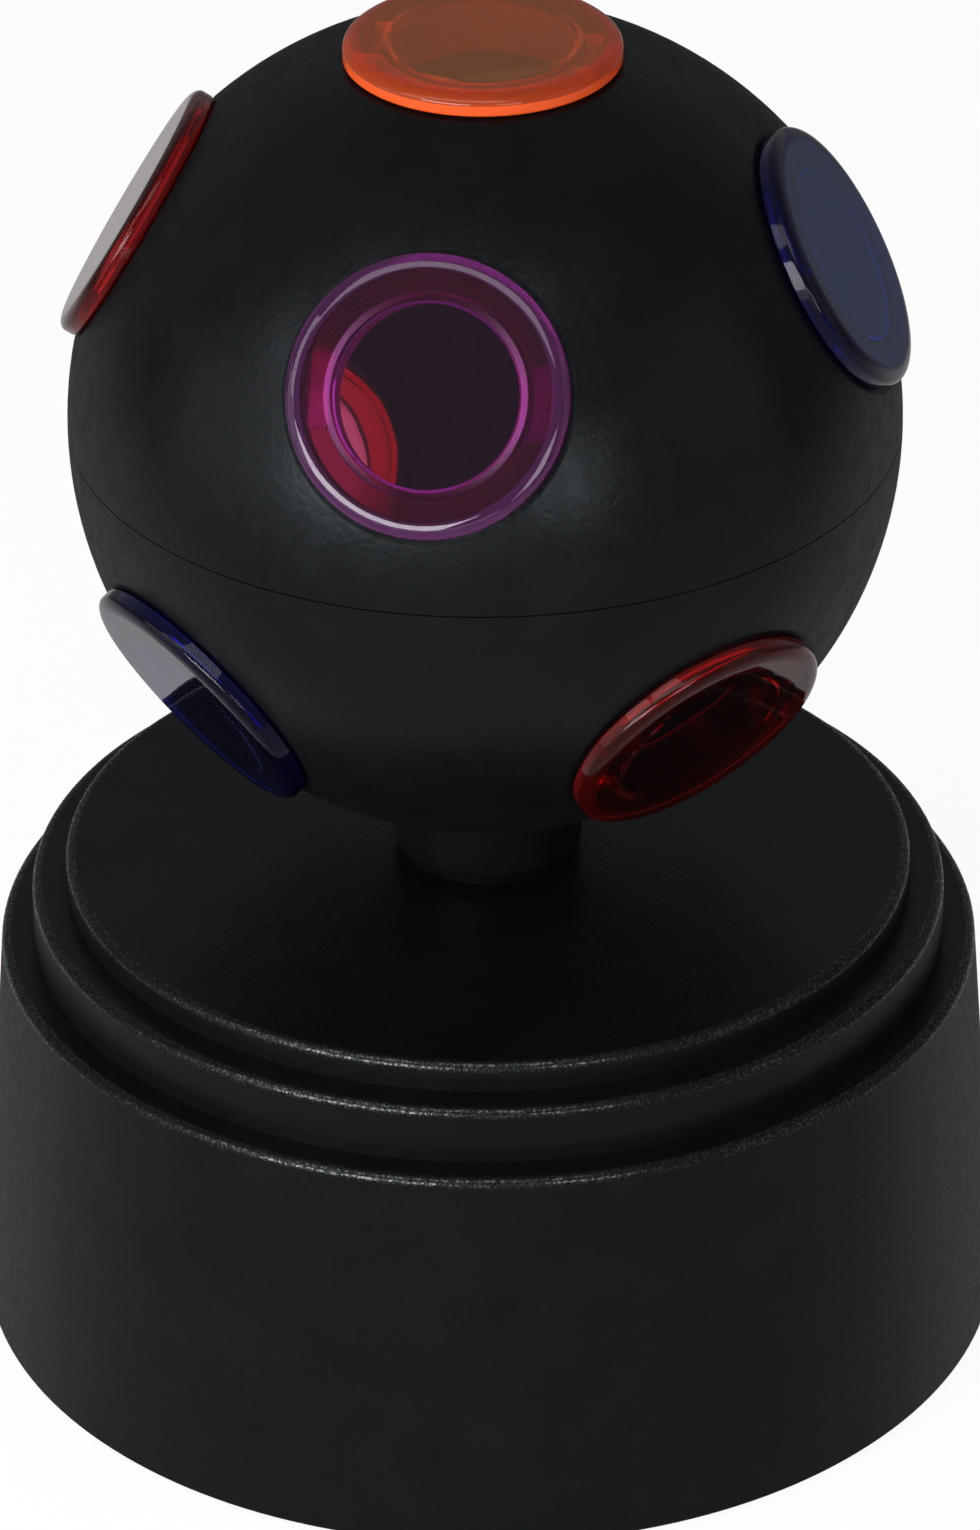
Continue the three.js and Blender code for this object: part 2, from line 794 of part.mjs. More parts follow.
function motorGearCase() {
  const bottom = frameZ - gearCaseHeight;
  const body = join(bar(motorRadius, bottom, frameZ, motorSides),
    bar(motorBossRadius, frameZ - overrun, frameZ + motorBossHeight));
  const shaftWay = bar(motorShaftRadius + runGap, frameZ - motorShaftSink - runGap,
    frameZ + motorBossHeight + overrun);
  const screwWays = motorScrewPlaces().map((place) => {
    const depth = motorScrewLength - frameThickness + seatGap;
    const way = bar(screwRadius + seatGap, frameZ - depth, frameZ + overrun);
    return way.translate(place.x - motorPlace.x, place.y - motorPlace.y, 0);
  });
  const shape = cut(body, shaftWay, ...screwWays);
  return piece('motor_gear_case', shape, whiteFrame, motorPlace.x, motorPlace.y, 0);
}

function motorCan() {
  const top = frameZ - gearCaseHeight;
  const bottom = top - motorCanHeight;
  const shape = turned([
    [0, bottom - motorBearingHeight],
    [motorBearingRadius, bottom - motorBearingHeight],
    [motorBearingRadius, bottom],
    [motorRadius - edgeRound, bottom],
    [motorRadius, bottom + edgeRound],
    [motorRadius, top],
    [0, top],
  ], motorSides);
  return piece('motor_can', shape, steel, motorPlace.x, motorPlace.y, 0);
}

function motorShaft() {
  const top = firstGearZ + gearWidth + motorShaftStub;
  const shape = bar(motorShaftRadius, frameZ - motorShaftSink, top);
  return piece('motor_shaft', shape, steel, motorPlace.x, motorPlace.y, 0);
}

// Half the angle that a tooth takes up at a radius, from the involute of its base circle
function halfToothAngle(teeth, radius) {
  const pitchRadius = pitchRadiusOf(teeth);
  const base = pitchRadius * Math.cos(pressureAngle);
  const involute = (angle) => Math.tan(angle) - angle;
  const atRadius = Math.acos(Math.min(1, base / radius));
  const atPitch = (Math.PI * toothModule / 2 - toothBacklash / 2) / (2 * pitchRadius);
  return atPitch + involute(pressureAngle) - involute(atRadius);
}

// Gear outline with the middle of one tooth at an angle from +X. A wheel's flanks are nearly
// straight, and a pinion's bend at the pitch circle.
function gearOutline(teeth, startAngle) {
  const pitchRadius = pitchRadiusOf(teeth);
  const root = pitchRadius - dedendumShare * toothModule;
  const tip = pitchRadius + addendumShare * toothModule;
  const radii = teeth > pinionTeeth ? [root, tip] : [root, pitchRadius, tip];
  const points = [];
  for (let tooth = 0; tooth < teeth; tooth += 1) {
    const middle = startAngle + tooth * 2 * Math.PI / teeth;
    for (const radius of radii) {
      points.push(polar(radius, middle - halfToothAngle(teeth, radius)));
    }
    for (const radius of radii.toReversed()) {
      points.push(polar(radius, middle + halfToothAngle(teeth, radius)));
    }
  }
  return new THREE.Shape(points);
}

// Pinion angle that sets a space of it against the tooth that points at it
function meshedAngle(lineAngle) {
  return lineAngle + Math.PI + Math.PI / pinionTeeth;
}

function idlerGear() {
  const smallTop = driveGearZ + gearWidth;
  const body = join(
    plate(gearOutline(idlerTeeth, motorAngle), firstGearZ, firstGearZ + gearWidth),
    plate(gearOutline(pinionTeeth, meshedAngle(idlerAngle)), firstGearZ, smallTop),
    bar(idlerHubRadius, frameTopZ + runGap, firstGearZ + overrun));
  const bore = bar(idlerPinRadius + runGap, frameTopZ - overrun, smallTop + overrun);
  return piece('idler_gear', cut(body, bore), paleGear, idlerPlace.x, idlerPlace.y, 0);
}

function idlerPin() {
  const clipZ = driveGearZ + gearWidth + runGap;
  const top = clipZ + clipThickness + idlerPinCollar;
  const shape = join(bar(idlerPinRadius, frameZ - idlerPinCollar, top),
    bar(idlerHubRadius, frameZ - idlerPinCollar - seatGap, frameZ - seatGap));
  return piece('idler_pin', shape, steel, idlerPlace.x, idlerPlace.y, 0);
}

function idlerClip() {
  const bottom = driveGearZ + gearWidth + runGap;
  const top = bottom + clipThickness;
  const disc = ring(clipRadius, idlerPinRadius + seatGap, bottom, top);
  const slot = block([0, -clipSlotWidth / 2, bottom - overrun],
    [clipRadius + overrun, clipSlotWidth / 2, top + overrun]);
  return piece('idler_clip', cut(disc, slot), steel, idlerPlace.x, idlerPlace.y, 0);
}

function motorPinion() {
  const body = join(
    plate(gearOutline(pinionTeeth, meshedAngle(motorAngle)), firstGearZ, firstGearZ + gearWidth),
    bar(pinionHubRadius, firstGearZ - pinionHubHeight, firstGearZ + overrun));
  const bore = bar(motorShaftRadius + seatGap, firstGearZ - pinionHubHeight - overrun,
    firstGearZ + gearWidth + overrun);
  return piece('motor_pinion', cut(body, bore), brass, motorPlace.x, motorPlace.y, 0);
}

function driveGear() {
  const body = plate(gearOutline(driveTeeth, idlerAngle), driveGearZ, driveGearZ + gearWidth);
  const bore = bar(tubeRadius + seatGap, driveGearZ - overrun, bushZ + overrun, tubeSides);
  return piece('drive_gear', cut(body, bore), paleGear);
}

function driveTube() {
  const flangeTop = driveGearZ - seatGap;
  const shape = turned([
    [tubeBore, tubeFootZ],
    [tubeFlangeRadius, tubeFootZ],
    [tubeFlangeRadius, flangeTop],
    [tubeRadius, flangeTop],
    [tubeRadius, tubeTopZ],
    [tubeBore, tubeTopZ],
    [tubeBore, tubeFootZ],
  ], tubeSides);
  return piece('drive_tube', shape, paleGear);
}

// Flanged bush in the middle of the base's top, which carries the ball
function neckBush() {
  const inner = tubeRadius + runGap;
  const shape = turned([
    [inner, bushZ],
    [bushRadius, bushZ],
    [bushRadius, plateauZ],
    [bushFlangeRadius, plateauZ],
    [bushFlangeRadius, plateauZ + bushFlangeThickness],
    [inner, plateauZ + bushFlangeThickness],
    [inner, bushZ],
  ], tubeSides);
  return piece('neck_bush', shape, blackPlate);
}

function lockNut() {
  const bottom = ballFloorZ + seatGap;
  const shape = nut(lockNutRadius, tubeRadius + seatGap, bottom, bottom + lockNutHeight);
  return piece('ball_lock_nut', shape, whiteFrame);
}

// Turn that sets +Z on a lens's outward direction and +Y up along the ball
function lensTurn(azimuth, elevation) {
  return new THREE.Euler(rad(90 - elevation), 0, rad(azimuth), 'ZXY');
}

function lensDirections(upper) {
  const rows = lensRows.filter((row) => (row.elevation > 0) === upper);
  return rows.flatMap((row) => row.lenses.map((lens) => lensTurn(lens.azimuth, row.elevation)));
}

// Ball with a flat cut across it under each lens of one half
function flattenedBall(radius, rings, seatDistance, upper) {
  const ball = new THREE.SphereGeometry(radius, ballSides, rings).rotateX(Math.PI / 2);
  const caps = lensDirections(upper).map((turn) => {
    const cap = block([-radius, -radius, seatDistance], [radius, radius, radius + overrun]);
    return cap.applyMatrix4(new THREE.Matrix4().makeRotationFromEuler(turn));
  });
  return cut(ball, ...caps);
}

function lensBores(upper) {
  return lensDirections(upper).map((turn) => {
    const bore = bar(seatRadius, cavityRadius / 2, ballRadius + overrun, lensSides);
    return bore.applyMatrix4(new THREE.Matrix4().makeRotationFromEuler(turn));
  });
}

function upperShell() {
  const reach = ballRadius + overrun;
  const outside = flattenedBall(ballRadius, ballRings, lensSeatDistance, true);
  const inside = flattenedBall(cavityRadius, cavityRings, lensSeatDistance - lensSeatWall, true);
  const half = block([-reach, -reach, seamGap], [reach, reach, reach]);
  const body = cut(common(outside, half), inside, ...lensBores(true));
  return piece('upper_shell', body, blackShell, 0, 0, ballZ);
}

// Ring round the lower shell's rim that guides the upper shell
function shellLip() {
  const outer = cavityRadius - lipGap;
  const inner = outer - lipWall;
  const root = cavityRadius + lipBite;
  return turned([
    [inner, -lipRoot],
    [root, -lipRoot],
    [root, 0],
    [outer, 0],
    [outer, lipReach],
    [inner, lipReach],
    [inner, -lipRoot],
  ], ballSides);
}

function lowerShell() {
  const reach = ballRadius + overrun;
  const outside = flattenedBall(ballRadius, ballRings, lensSeatDistance, false);
  const inside = flattenedBall(cavityRadius, cavityRings, lensSeatDistance - lensSeatWall, false);
  const half = block([-reach, -reach, -reach], [reach, reach, 0]);
  const neck = bar(neckRadius, neckZ - ballZ, ballFloorZ - ballZ, tubeSides);
  const floor = ballFloorZ - ballZ;
  const hollow = common(inside, block([-reach, -reach, floor], [reach, reach, reach]));
  const bore = bar(tubeRadius + seatGap, neckZ - ballZ - overrun, floor + overrun, tubeSides);
  const cup = cut(join(common(outside, half), neck), hollow);
  const body = cut(join(cup, shellLip()), bore, ...lensBores(false));
  return piece('lower_shell', body, blackShell, 0, 0, ballZ);
}

// Lens from the underside of its rim, with barbs on its collar that snap behind the seat
function lens(name, colour) {
  const inner = collarRadius - collarWall;
  const body = turned([
    [0, lensThickness - lensWindow],
    [inner, lensThickness - lensWindow],
    [inner, -collarLength],
    [collarRadius, -collarLength],
    [collarRadius, 0],
    [lensRadius, 0],
    ...roundedCorner(lensRadius, lensThickness, lensRound, lensEdgeSteps),
    [0, lensThickness],
  ], lensSides);
  const barbTop = -seatGap - lensSeatWall - seatGap;
  const barbs = [-1, 1].map((side) => {
    const [lowX, highX] = [side * (inner + collarWall / 3), side * (seatRadius + barbReach)]
      .sort((a, b) => a - b);
    return block([lowX, -barbWidth / 2, barbTop - barbHeight], [highX, barbWidth / 2, barbTop]);
  });
  return piece(name, join(body, ...barbs), lensMaterials[colour]);
}

function lenses() {
  const group = new THREE.Group();
  group.position.z = ballZ;
  for (const row of lensRows) {
    for (const { name, azimuth, colour } of row.lenses) {
      const holder = new THREE.Group();
      holder.rotation.copy(lensTurn(azimuth, row.elevation));
      const mesh = lens(name, colour);
      mesh.position.z = lensSeatDistance + seatGap;
      holder.add(mesh);
      group.add(holder);
    }
  }
  return group;
}

// Fixed hollow stem that carries the lights inside the ball
function lampStem() {
  const inner = stemRadius - stemWall;
  const bottom = frameZ - seatGap - stemNutHeight - stemStub;
  const flangeTop = frameTopZ + stemFlangeThickness;
  const shape = turned([
    [inner, bottom],
    [stemRadius, bottom],
    [stemRadius, frameTopZ],
    [stemFlangeRadius, frameTopZ],
    [stemFlangeRadius, flangeTop],
    [stemRadius, flangeTop],
    [stemRadius, lightZ],
    [inner, lightZ],
    [inner, bottom],
  ], tubeSides);
  return piece('lamp_stem', shape, tin);
}

function stemNut() {
  const top = frameZ - seatGap;
  const shape = nut(stemNutRadius, stemRadius + seatGap, top - stemNutHeight, top);
  return piece('stem_nut', shape, brass);
}

function lightBoard() {
  const disc = bar(lightBoardRadius, 0, lightBoardThickness, tubeSides);
  return piece('light_board', disc, boardWhite, 0, 0, lightZ);
}

function lights() {
  const domeZ = lightHeight - lightRadius;
  const points = [
    [0, 0],
    [lightFlangeRadius, 0],
    [lightFlangeRadius, lightFlangeHeight],
    [lightRadius, lightFlangeHeight],
  ];
  for (let step = 0; step <= domeSteps; step += 1) {
    const angle = (step / domeSteps) * Math.PI / 2;
    points.push([lightRadius * Math.cos(angle), domeZ + lightRadius * Math.sin(angle)]);
  }
  points[points.length - 1][0] = 0;
  const body = turned(points, smallSides);
  const meshes = [];
  for (let index = 0; index < lightCount; index += 1) {
    const place = polar(lightRingRadius, (index + 0.5) * 2 * Math.PI / lightCount);
    const z = lightZ + lightBoardThickness;
    meshes.push(piece(`led_${index + 1}`, body, clearLight, place.x, place.y, z));
  }
  return meshes;
}

function circuitBoard() {
  const low = [-boardHalfWidth, boardFrontY - boardThickness, boardZ];
  const high = [boardHalfWidth, boardFrontY, boardZ + boardHeight];
  return piece('circuit_board', block(low, high), boardGreen);
}

function switchBody() {
  const halfX = switchWidth / 2;
  const halfZ = switchHeight / 2;
  const box = block([-halfX, boardFrontY, switchZ - halfZ], [halfX, switchFrontY, switchZ + halfZ]);
  const wayX = (leverWidth + knobTravel) / 2 + runGap;
  const wayZ = leverHeight / 2 + runGap;
  const way = block([-wayX, switchFrontY - leverReach - runGap, switchZ - wayZ],
    [wayX, switchFrontY + overrun, switchZ + wayZ]);
  return piece('switch_body', cut(box, way), steel);
}

// Knob of the slide switch, at the off end of its travel
function switchKnob() {
  const faceY = wallRadius(switchZ) + knobProud - ribHeight;
  const halfX = knobWidth / 2;
  const halfZ = knobHeight / 2;
  const parts = [
    block([-halfX, switchFrontY + runGap, -halfZ], [halfX, faceY, halfZ]),
    block([-leverWidth / 2, switchFrontY - leverReach, -leverHeight / 2],
      [leverWidth / 2, faceY, leverHeight / 2]),
  ];
  for (let index = 0; index < ribCount; index += 1) {
    const x = (index + 0.5) * knobWidth / ribCount - halfX;
    parts.push(block([x - ribWidth / 2, faceY - ribHeight, -halfZ],
      [x + ribWidth / 2, faceY + ribHeight, halfZ]));
  }
  return piece('switch_knob', join(...parts), blackPlate, knobOffset, 0, switchZ);
}

// Insulated lead along a smooth curve through points chosen by hand
function lead(name, points, material) {
  const section = new THREE.Shape();
  section.absarc(0, 0, leadRadius, 0, 2 * Math.PI);
  const path = new THREE.CatmullRomCurve3(points.map((point) => new THREE.Vector3(...point)));
  const shape = new THREE.ExtrudeGeometry(section, {
    steps: leadSteps,
    curveSegments: leadSides / 2,
    extrudePath: path,
  });
  return piece(name, shape, material);
}

function leads() {
  const boardBackY = boardFrontY - boardThickness - seatGap;
  const wayZ = bayTopZ + wireway / 3;
  const canZ = frameZ - gearCaseHeight - motorCanHeight / 2;
  const underCanZ = (cellZ + canZ) / 2;
  const onRing = (radius, degrees, z) => [...polar(radius, rad(degrees)).toArray(), z];
  const toBoard = (x, z) => [[x, boardBackY - 4 * leadRadius, z], [x, boardBackY, z]];
  const fromMotor = (radius, z) => [...polar(radius, motorLeadAngle).add(motorPlace).toArray(), z];
  return [
    lead('light_lead', [
      [0, 0, lightZ - seatGap],
      [0, 0, (lightZ + frameZ) / 2],
      [0, 0, frameZ],
      [0, 0, wayZ + stemRadius],
      [-leadRadius, stemRadius, wayZ],
      [-boardHalfWidth / 4, boardBackY / 2, wayZ],
      ...toBoard(-boardHalfWidth / 4, wayZ),
    ], whiteLead),
    lead('battery_lead_minus', [
      [-bayHalfLength, cellY(0), cellZ],
      [-bayEndX, cellY(0), cellZ],
      [-bayEndX - 3 * leadRadius, cellY(0), cellZ],
      onRing(leadRingRadius, 210, cellZ),
      onRing(leadRingRadius, 180, cellZ),
      onRing(leadRingRadius, 150, cellZ),
      onRing(leadRingRadius, 122, underCanZ),
      ...toBoard(-boardHalfWidth / 2, canZ),
    ], blackLead),
    lead('battery_lead_plus', [
      [bayHalfLength, cellY(cellCount - 1), cellZ],
      [bayEndX, cellY(cellCount - 1), cellZ],
      [bayEndX + 3 * leadRadius, cellY(cellCount - 1), cellZ],
      onRing(leadRingRadius, 8, cellZ),
      onRing(motorReach, 36, cellZ),
      onRing(motorReach + 2 * leadRadius, 56, underCanZ),
      onRing(motorReach, 66, canZ + motorCanHeight / 2),
      ...toBoard(boardHalfWidth / 2, canZ + motorCanHeight / 2),
    ], redLead),
    lead('motor_lead', [
      fromMotor(motorRadius + seatGap, canZ),
      fromMotor(motorRadius + 2 * leadRadius, canZ),
      ...toBoard(boardHalfWidth / 4, canZ),
    ], blackLead),
  ];
}

const lamp = new THREE.Group();
lamp.add(
  baseHousing(),
  bottomPlate(),
  ...plateScrews(),
  ...feet(),
  batteryDoor(),
  doorScrew(),
  cells(),
  ...contacts(),
  gearFrame(),
  ...frameScrews(),
  ...motorScrews(),
  motorCan(),
  motorGearCase(),
  motorShaft(),
  motorPinion(),
  idlerPin(),
  idlerGear(),
  idlerClip(),
  driveGear(),
  driveTube(),
  neckBush(),
  lockNut(),
  lowerShell(),
  upperShell(),
  lenses(),
  lampStem(),
  stemNut(),
  lightBoard(),
  ...lights(),
  circuitBoard(),
  switchBody(),
  switchKnob(),
  ...leads(),
);

export default lamp;
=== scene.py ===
"""Looks of the turning ball lamp: smooth shells, clear coloured lenses and a satin black base."""

import json
import math

import bmesh
import bpy
from mathutils import Matrix, Vector

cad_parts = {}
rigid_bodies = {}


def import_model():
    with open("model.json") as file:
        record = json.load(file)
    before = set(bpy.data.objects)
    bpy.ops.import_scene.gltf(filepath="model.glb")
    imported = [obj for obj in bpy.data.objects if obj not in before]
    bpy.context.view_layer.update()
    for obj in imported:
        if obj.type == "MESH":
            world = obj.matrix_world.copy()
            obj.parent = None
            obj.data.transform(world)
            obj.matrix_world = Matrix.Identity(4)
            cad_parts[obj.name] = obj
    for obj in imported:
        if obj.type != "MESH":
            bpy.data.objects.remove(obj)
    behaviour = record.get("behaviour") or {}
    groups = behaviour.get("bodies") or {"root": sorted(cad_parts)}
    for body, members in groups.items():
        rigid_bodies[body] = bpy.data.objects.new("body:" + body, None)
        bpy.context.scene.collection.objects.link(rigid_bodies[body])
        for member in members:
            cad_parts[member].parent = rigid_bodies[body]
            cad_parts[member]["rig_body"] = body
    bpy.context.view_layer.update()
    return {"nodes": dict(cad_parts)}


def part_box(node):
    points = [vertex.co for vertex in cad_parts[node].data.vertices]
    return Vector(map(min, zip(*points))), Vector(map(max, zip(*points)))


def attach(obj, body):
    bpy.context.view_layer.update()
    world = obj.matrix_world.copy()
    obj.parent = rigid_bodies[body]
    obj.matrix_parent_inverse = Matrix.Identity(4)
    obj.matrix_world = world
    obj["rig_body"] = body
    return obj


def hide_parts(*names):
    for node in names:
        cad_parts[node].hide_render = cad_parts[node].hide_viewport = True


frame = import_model()

MM = 0.001
UP = Vector((0, 0, 1))

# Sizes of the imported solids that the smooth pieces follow, in millimetres
HOUSING_FOOT = 1.0
HOUSING_RADIUS = 57.4
WALL_TOP = (54.3, 46.0)
LOWER_STEP = (50.7, 52.5)
PLATEAU = (46.9, 55.9)
HOUSING_WALL = 2.4
HOUSING_ROUND = 1.1
HOUSING_CHAMFER = 0.3
HOUSING_SEGMENTS = 192
ROUND_STEPS = 8
BOSS_DEPTH = 8.9
BOSS_WALL = 2.4
BUSH_BORE = 8.9
SLOT_HALF_WIDTH = 4.5
SLOT_HEIGHTS = (19.9, 24.1)
SLOT_CUT = (6, 2)

BUSH_FOOT = 46
BUSH_RADIUS = 8.6
FLANGE_RADIUS = 9.8
FLANGE_TOP = 56.9
FLANGE_ROUND = 0.15
BUSH_CHAMFER = 0.3

BALL_Z = 109.0
BALL_RADIUS = 45.0
BALL_WALL = 2.0
SEAT_DISTANCE = 42.3
SEAT_WALL = 1.8
SEAT_RADIUS = 13.0
SEAM = (0.08, 0.22)
OUTER_RINGS = 96
INNER_RINGS = 64
HOLE_SPAN = (20, 50)
NECK_RADIUS = 10.45
NECK_FOOT = 57.2
NECK_ROUND = 0.4
BALL_FLOOR = 67.5
BELOW_BALL = -60
TUBE_BORE = 7.0
BORE_SPAN = (50, 75)
LIP_DEPTH = 2
LIP_GRIP = 0.5
LIP_GAP = 0.6
LIP_FOOT = -3
LIP_TOPS = (2, 2.2)

LENS_RADIUS = 14.8
LENS_THICKNESS = 2.3
LENS_ROUND = 1.1
LENS_ROUND_WIDTH = 1.7
LENS_CHAMFER = 0.2
LENS_SEGMENTS = 128
LENS_EDGE = (0.5, 1.1)
# Span of the painted glow ring on the lens face over its collar
PAINTED_RING_SPAN = (9.95, 10.6)
LENS_WINDOW = 1.6
WINDOW_CHAMFER = 0.3
LENS_LIFT = 0.3
COLLAR_RADIUS = 10.85
COLLAR_WALL = 0.95
COLLAR_LENGTH = 5.2
TAB_HALF_WIDTH = 4.0
TAB_ROOT = 0.4
TAB_TOP = 0.5
TAB_REACH = 12.5
HOOK_REACH = 13.5
HOOK_HEIGHT = 0.9

LED_RADIUS = 2.5
LED_FLANGE = (2.9, 1.0)
LED_CHAMFER = 0.1
LED_STEPS = 8
FOOT_RADIUS = 4.5
FOOT_ROUND = 0.5
SCREW_HEAD = ((1.5, 0), (1.9, 0.12), (2.1, 0.5), (2.1, 1))
SCREW_SHANK = 1
SCREW_TIP = 1
CROSS_ARM = (1.15, 0.25)
CROSS_DEPTH = 0.5
CROSS_TURN = 0.5

# Edges of the solids that stay in view: width in millimetres, and the angle they start at
SOFT_EDGE = 0.12
SOFT_EDGE_ANGLE = 40

# Angles in degrees from which an edge is shaded sharp
SHARP = 30
SHELL_SHARP = 12

# Distances that count as touching: a cut in millimetres, a round surface in metres
CUT_TOUCH = 1e-5
SURFACE_TOUCH = 2e-5

# Floor, flat to its radius and then curved up, in millimetres and degrees
FLOOR_RADIUS = 2200
FLOOR_CURVE = 500
FLOOR_SWEEP = 80
FLOOR_STEPS = 12

# Its glow: the distances in metres over which it fades, and how much of it each ray meets
LIT_FLOOR = (0.42, 0.78)
FAR_GLOW = 0.3
CAMERA_GLOW = 0.93
RAY_GLOWS = (("Is Glossy Ray", 0.9), ("Is Transmission Ray", 0.85))
MIRRORED_GLOW = 0.48
ROOM_TONE = (0.96, 0.98, 1.0, 1)
ROOM_LEVEL = 0.28

# Lamps in metres: name, degrees right of the front and above the horizon, width, height, power
LAMP_AIM = (0, 0, 0.08)
LAMP_DISTANCE = 0.8
SOFT_LAMPS = (
    ("key lamp", -30, 12, 0.56, 0.28, 6.9),
    ("front lamp", 20, 12, 0.28, 0.28, 1.45),
    ("low lamp", -20, -8, 0.84, 0.28, 1.5),
    ("left lamp", -70, 2, 0.56, 0.56, 1.2),
    ("upper left lamp", -60, 32, 0.28, 0.28, 0.95),
    ("top lamp", -15, 54, 0.7, 0.34, 2.7),
    ("right lamp", 68, 12, 0.45, 0.75, 0.4),
)

# Camera in metres and radians, its lens and sensor in millimetres
CAMERA_PLACE = (0.00029, -0.77906, 0.51802)
CAMERA_DIP = 0.5263
CAMERA_ROLL = 0.0061
CAMERA_LENS = 191.84
CAMERA_SENSOR = 36
CAMERA_CLIP = (0.05, 20)

# Marks on the faces of a lens, which its material reads; the ring mark gives the face over the
# collar a painted glow ring, standing in for light carried up the collar
FACE, PAINTED_RING, UNDERSIDE, COLLAR, ROUND, EDGE = 0.0, 0.15, 0.3, 0.5, 0.75, 1.0

# How the marks are given: slack in millimetres, and how fast the painted glow ring fades from its
# two sides
LEVEL_TOUCH = 0.05
COLLAR_MARGIN = 1
ROUND_FROM = 0.1
PAINTED_RING_FADE = 4

# Name: colour, azimuth, elevation and turn about its own axis, in degrees
LENSES = {
    "lens_top": ("orange", -9, 90, 0),
    "lens_upper_front": ("purple", -9, 30, 0),
    "lens_upper_right": ("blue", 81, 30, 0),
    "lens_upper_back": ("blue", 171, 30, 0),
    "lens_upper_left": ("red", 261, 30, 0),
    "lens_lower_front_right": ("red", 36, -30, 0),
    # The two lower blue lenses take the blue plastic painted darker for shade
    "lens_lower_back_right": ("deep_blue", 126, -30, 90),
    "lens_lower_back_left": ("red", 216, -30, 90),
    "lens_lower_front_left": ("deep_blue", 306, -30, 0),
}


def lens_turn(azimuth, elevation, spin):
    """Rotation that sets +Z on a lens's outward direction and spins the lens about it."""
    tilt = Matrix.Rotation(math.radians(90 - elevation), 4, "X")
    about = Matrix.Rotation(math.radians(spin), 4, "Z")
    return Matrix.Rotation(math.radians(azimuth), 4, "Z") @ tilt @ about


class Look:
    """A material under way: its shader, and short calls that add nodes to it."""

    def __init__(self, name):
        self.material = bpy.data.materials.new(name)
        self.material.use_nodes = True
        self.tree = self.material.node_tree
        self.tree.nodes.clear()
        output = self.add("ShaderNodeOutputMaterial")
        self.shader = self.add("ShaderNodeBsdfPrincipled")
        self.surface = output.inputs["Surface"]
        self.volume = output.inputs["Volume"]
        self.join(self.shader.outputs["BSDF"], self.surface)
        self.place = self.add("ShaderNodeTexCoord").outputs["Object"]

    def add(self, kind, **settings):
        node = self.tree.nodes.new(kind)
        for key, value in settings.items():
            setattr(node, key, value)
        return node

    def join(self, start, end):
        self.tree.links.new(start, end)

    def set(self, **values):
        """Sets the shader's own sockets, with _ in place of spaces."""
        for key, value in values.items():
            self.shader.inputs[key.replace("_", " ")].default_value = value
        return self

    def noise(self, size, detail=2.0, stretch=(1, 1, 1)):
        """Noise from 0 to 1 whose grains are about size millimetres across."""
        mapping = self.add("ShaderNodeMapping")
        mapping.inputs["Scale"].default_value = [s / (size * MM) for s in stretch]
        node = self.add("ShaderNodeTexNoise")
        node.inputs["Scale"].default_value = 1.0
        node.inputs["Detail"].default_value = detail
        self.join(self.place, mapping.inputs["Vector"])
        self.join(mapping.outputs["Vector"], node.inputs["Vector"])
        return node.outputs["Fac"]

    def mark(self, name):
        """Number that each face of the mesh carries under a name."""
        return self.add("ShaderNodeAttribute", attribute_name=name).outputs["Fac"]

    def worked(self, operation, first, second):
        node = self.add("ShaderNodeMath", operation=operation)
        self.join(first, node.inputs[0])
        self.join(second, node.inputs[1])
        return node.outputs["Value"]

    def product(self, first, second):
        return self.worked("MULTIPLY", first, second)

    def total(self, first, second):
        return self.worked("ADD", first, second)

    def tinted(self, first, second):
        """Two colours multiplied."""
        node = self.add("ShaderNodeMix", data_type="RGBA", blend_type="MULTIPLY")
        node.inputs["Factor"].default_value = 1.0
        self.join(first, node.inputs["A"])
        self.join(second, node.inputs["B"])
        return node.outputs["Result"]

    def span(self, value, low, high, start=0.3, stop=0.7):
        """Carries value from the range start to stop over to the range low to high."""
        node = self.add("ShaderNodeMapRange")
        for key, number in (
            ("From Min", start),
            ("From Max", stop),
            ("To Min", low),
            ("To Max", high),
        ):
            node.inputs[key].default_value = number
        self.join(value, node.inputs["Value"])
        return node.outputs["Result"]

    def colours(self, value, *stops):
        """Colour ramp through stops of (position, colour)."""
        node = self.add("ShaderNodeValToRGB")
        ramp = node.color_ramp
        while len(ramp.elements) < len(stops):
            ramp.elements.new(0.5)
        for element, (position, colour) in zip(ramp.elements, stops):
            element.position = position
            element.color = (*colour, 1)
        self.join(value, node.inputs["Fac"])
        return node.outputs["Color"]

    def bump(self, height, depth, before=None):
        """Relief of depth millimetres, on top of an earlier one if it is given."""
        node = self.add("ShaderNodeBump")
        node.inputs["Distance"].default_value = depth * MM
        self.join(height, node.inputs["Height"])
        if before is not None:
            self.join(before, node.inputs["Normal"])
        self.join(node.outputs["Normal"], self.shader.inputs["Normal"])
        return node.outputs["Normal"]

    def base(self, colour):
        self.join(colour, self.shader.inputs["Base Color"])

    def rough(self, value):
        self.join(value, self.shader.inputs["Roughness"])


# Size of the cloudy tone in millimetres, and how much deeper the grain of a marked edge is
CLOUD = 9.0
EDGE_GRAIN = 2.5


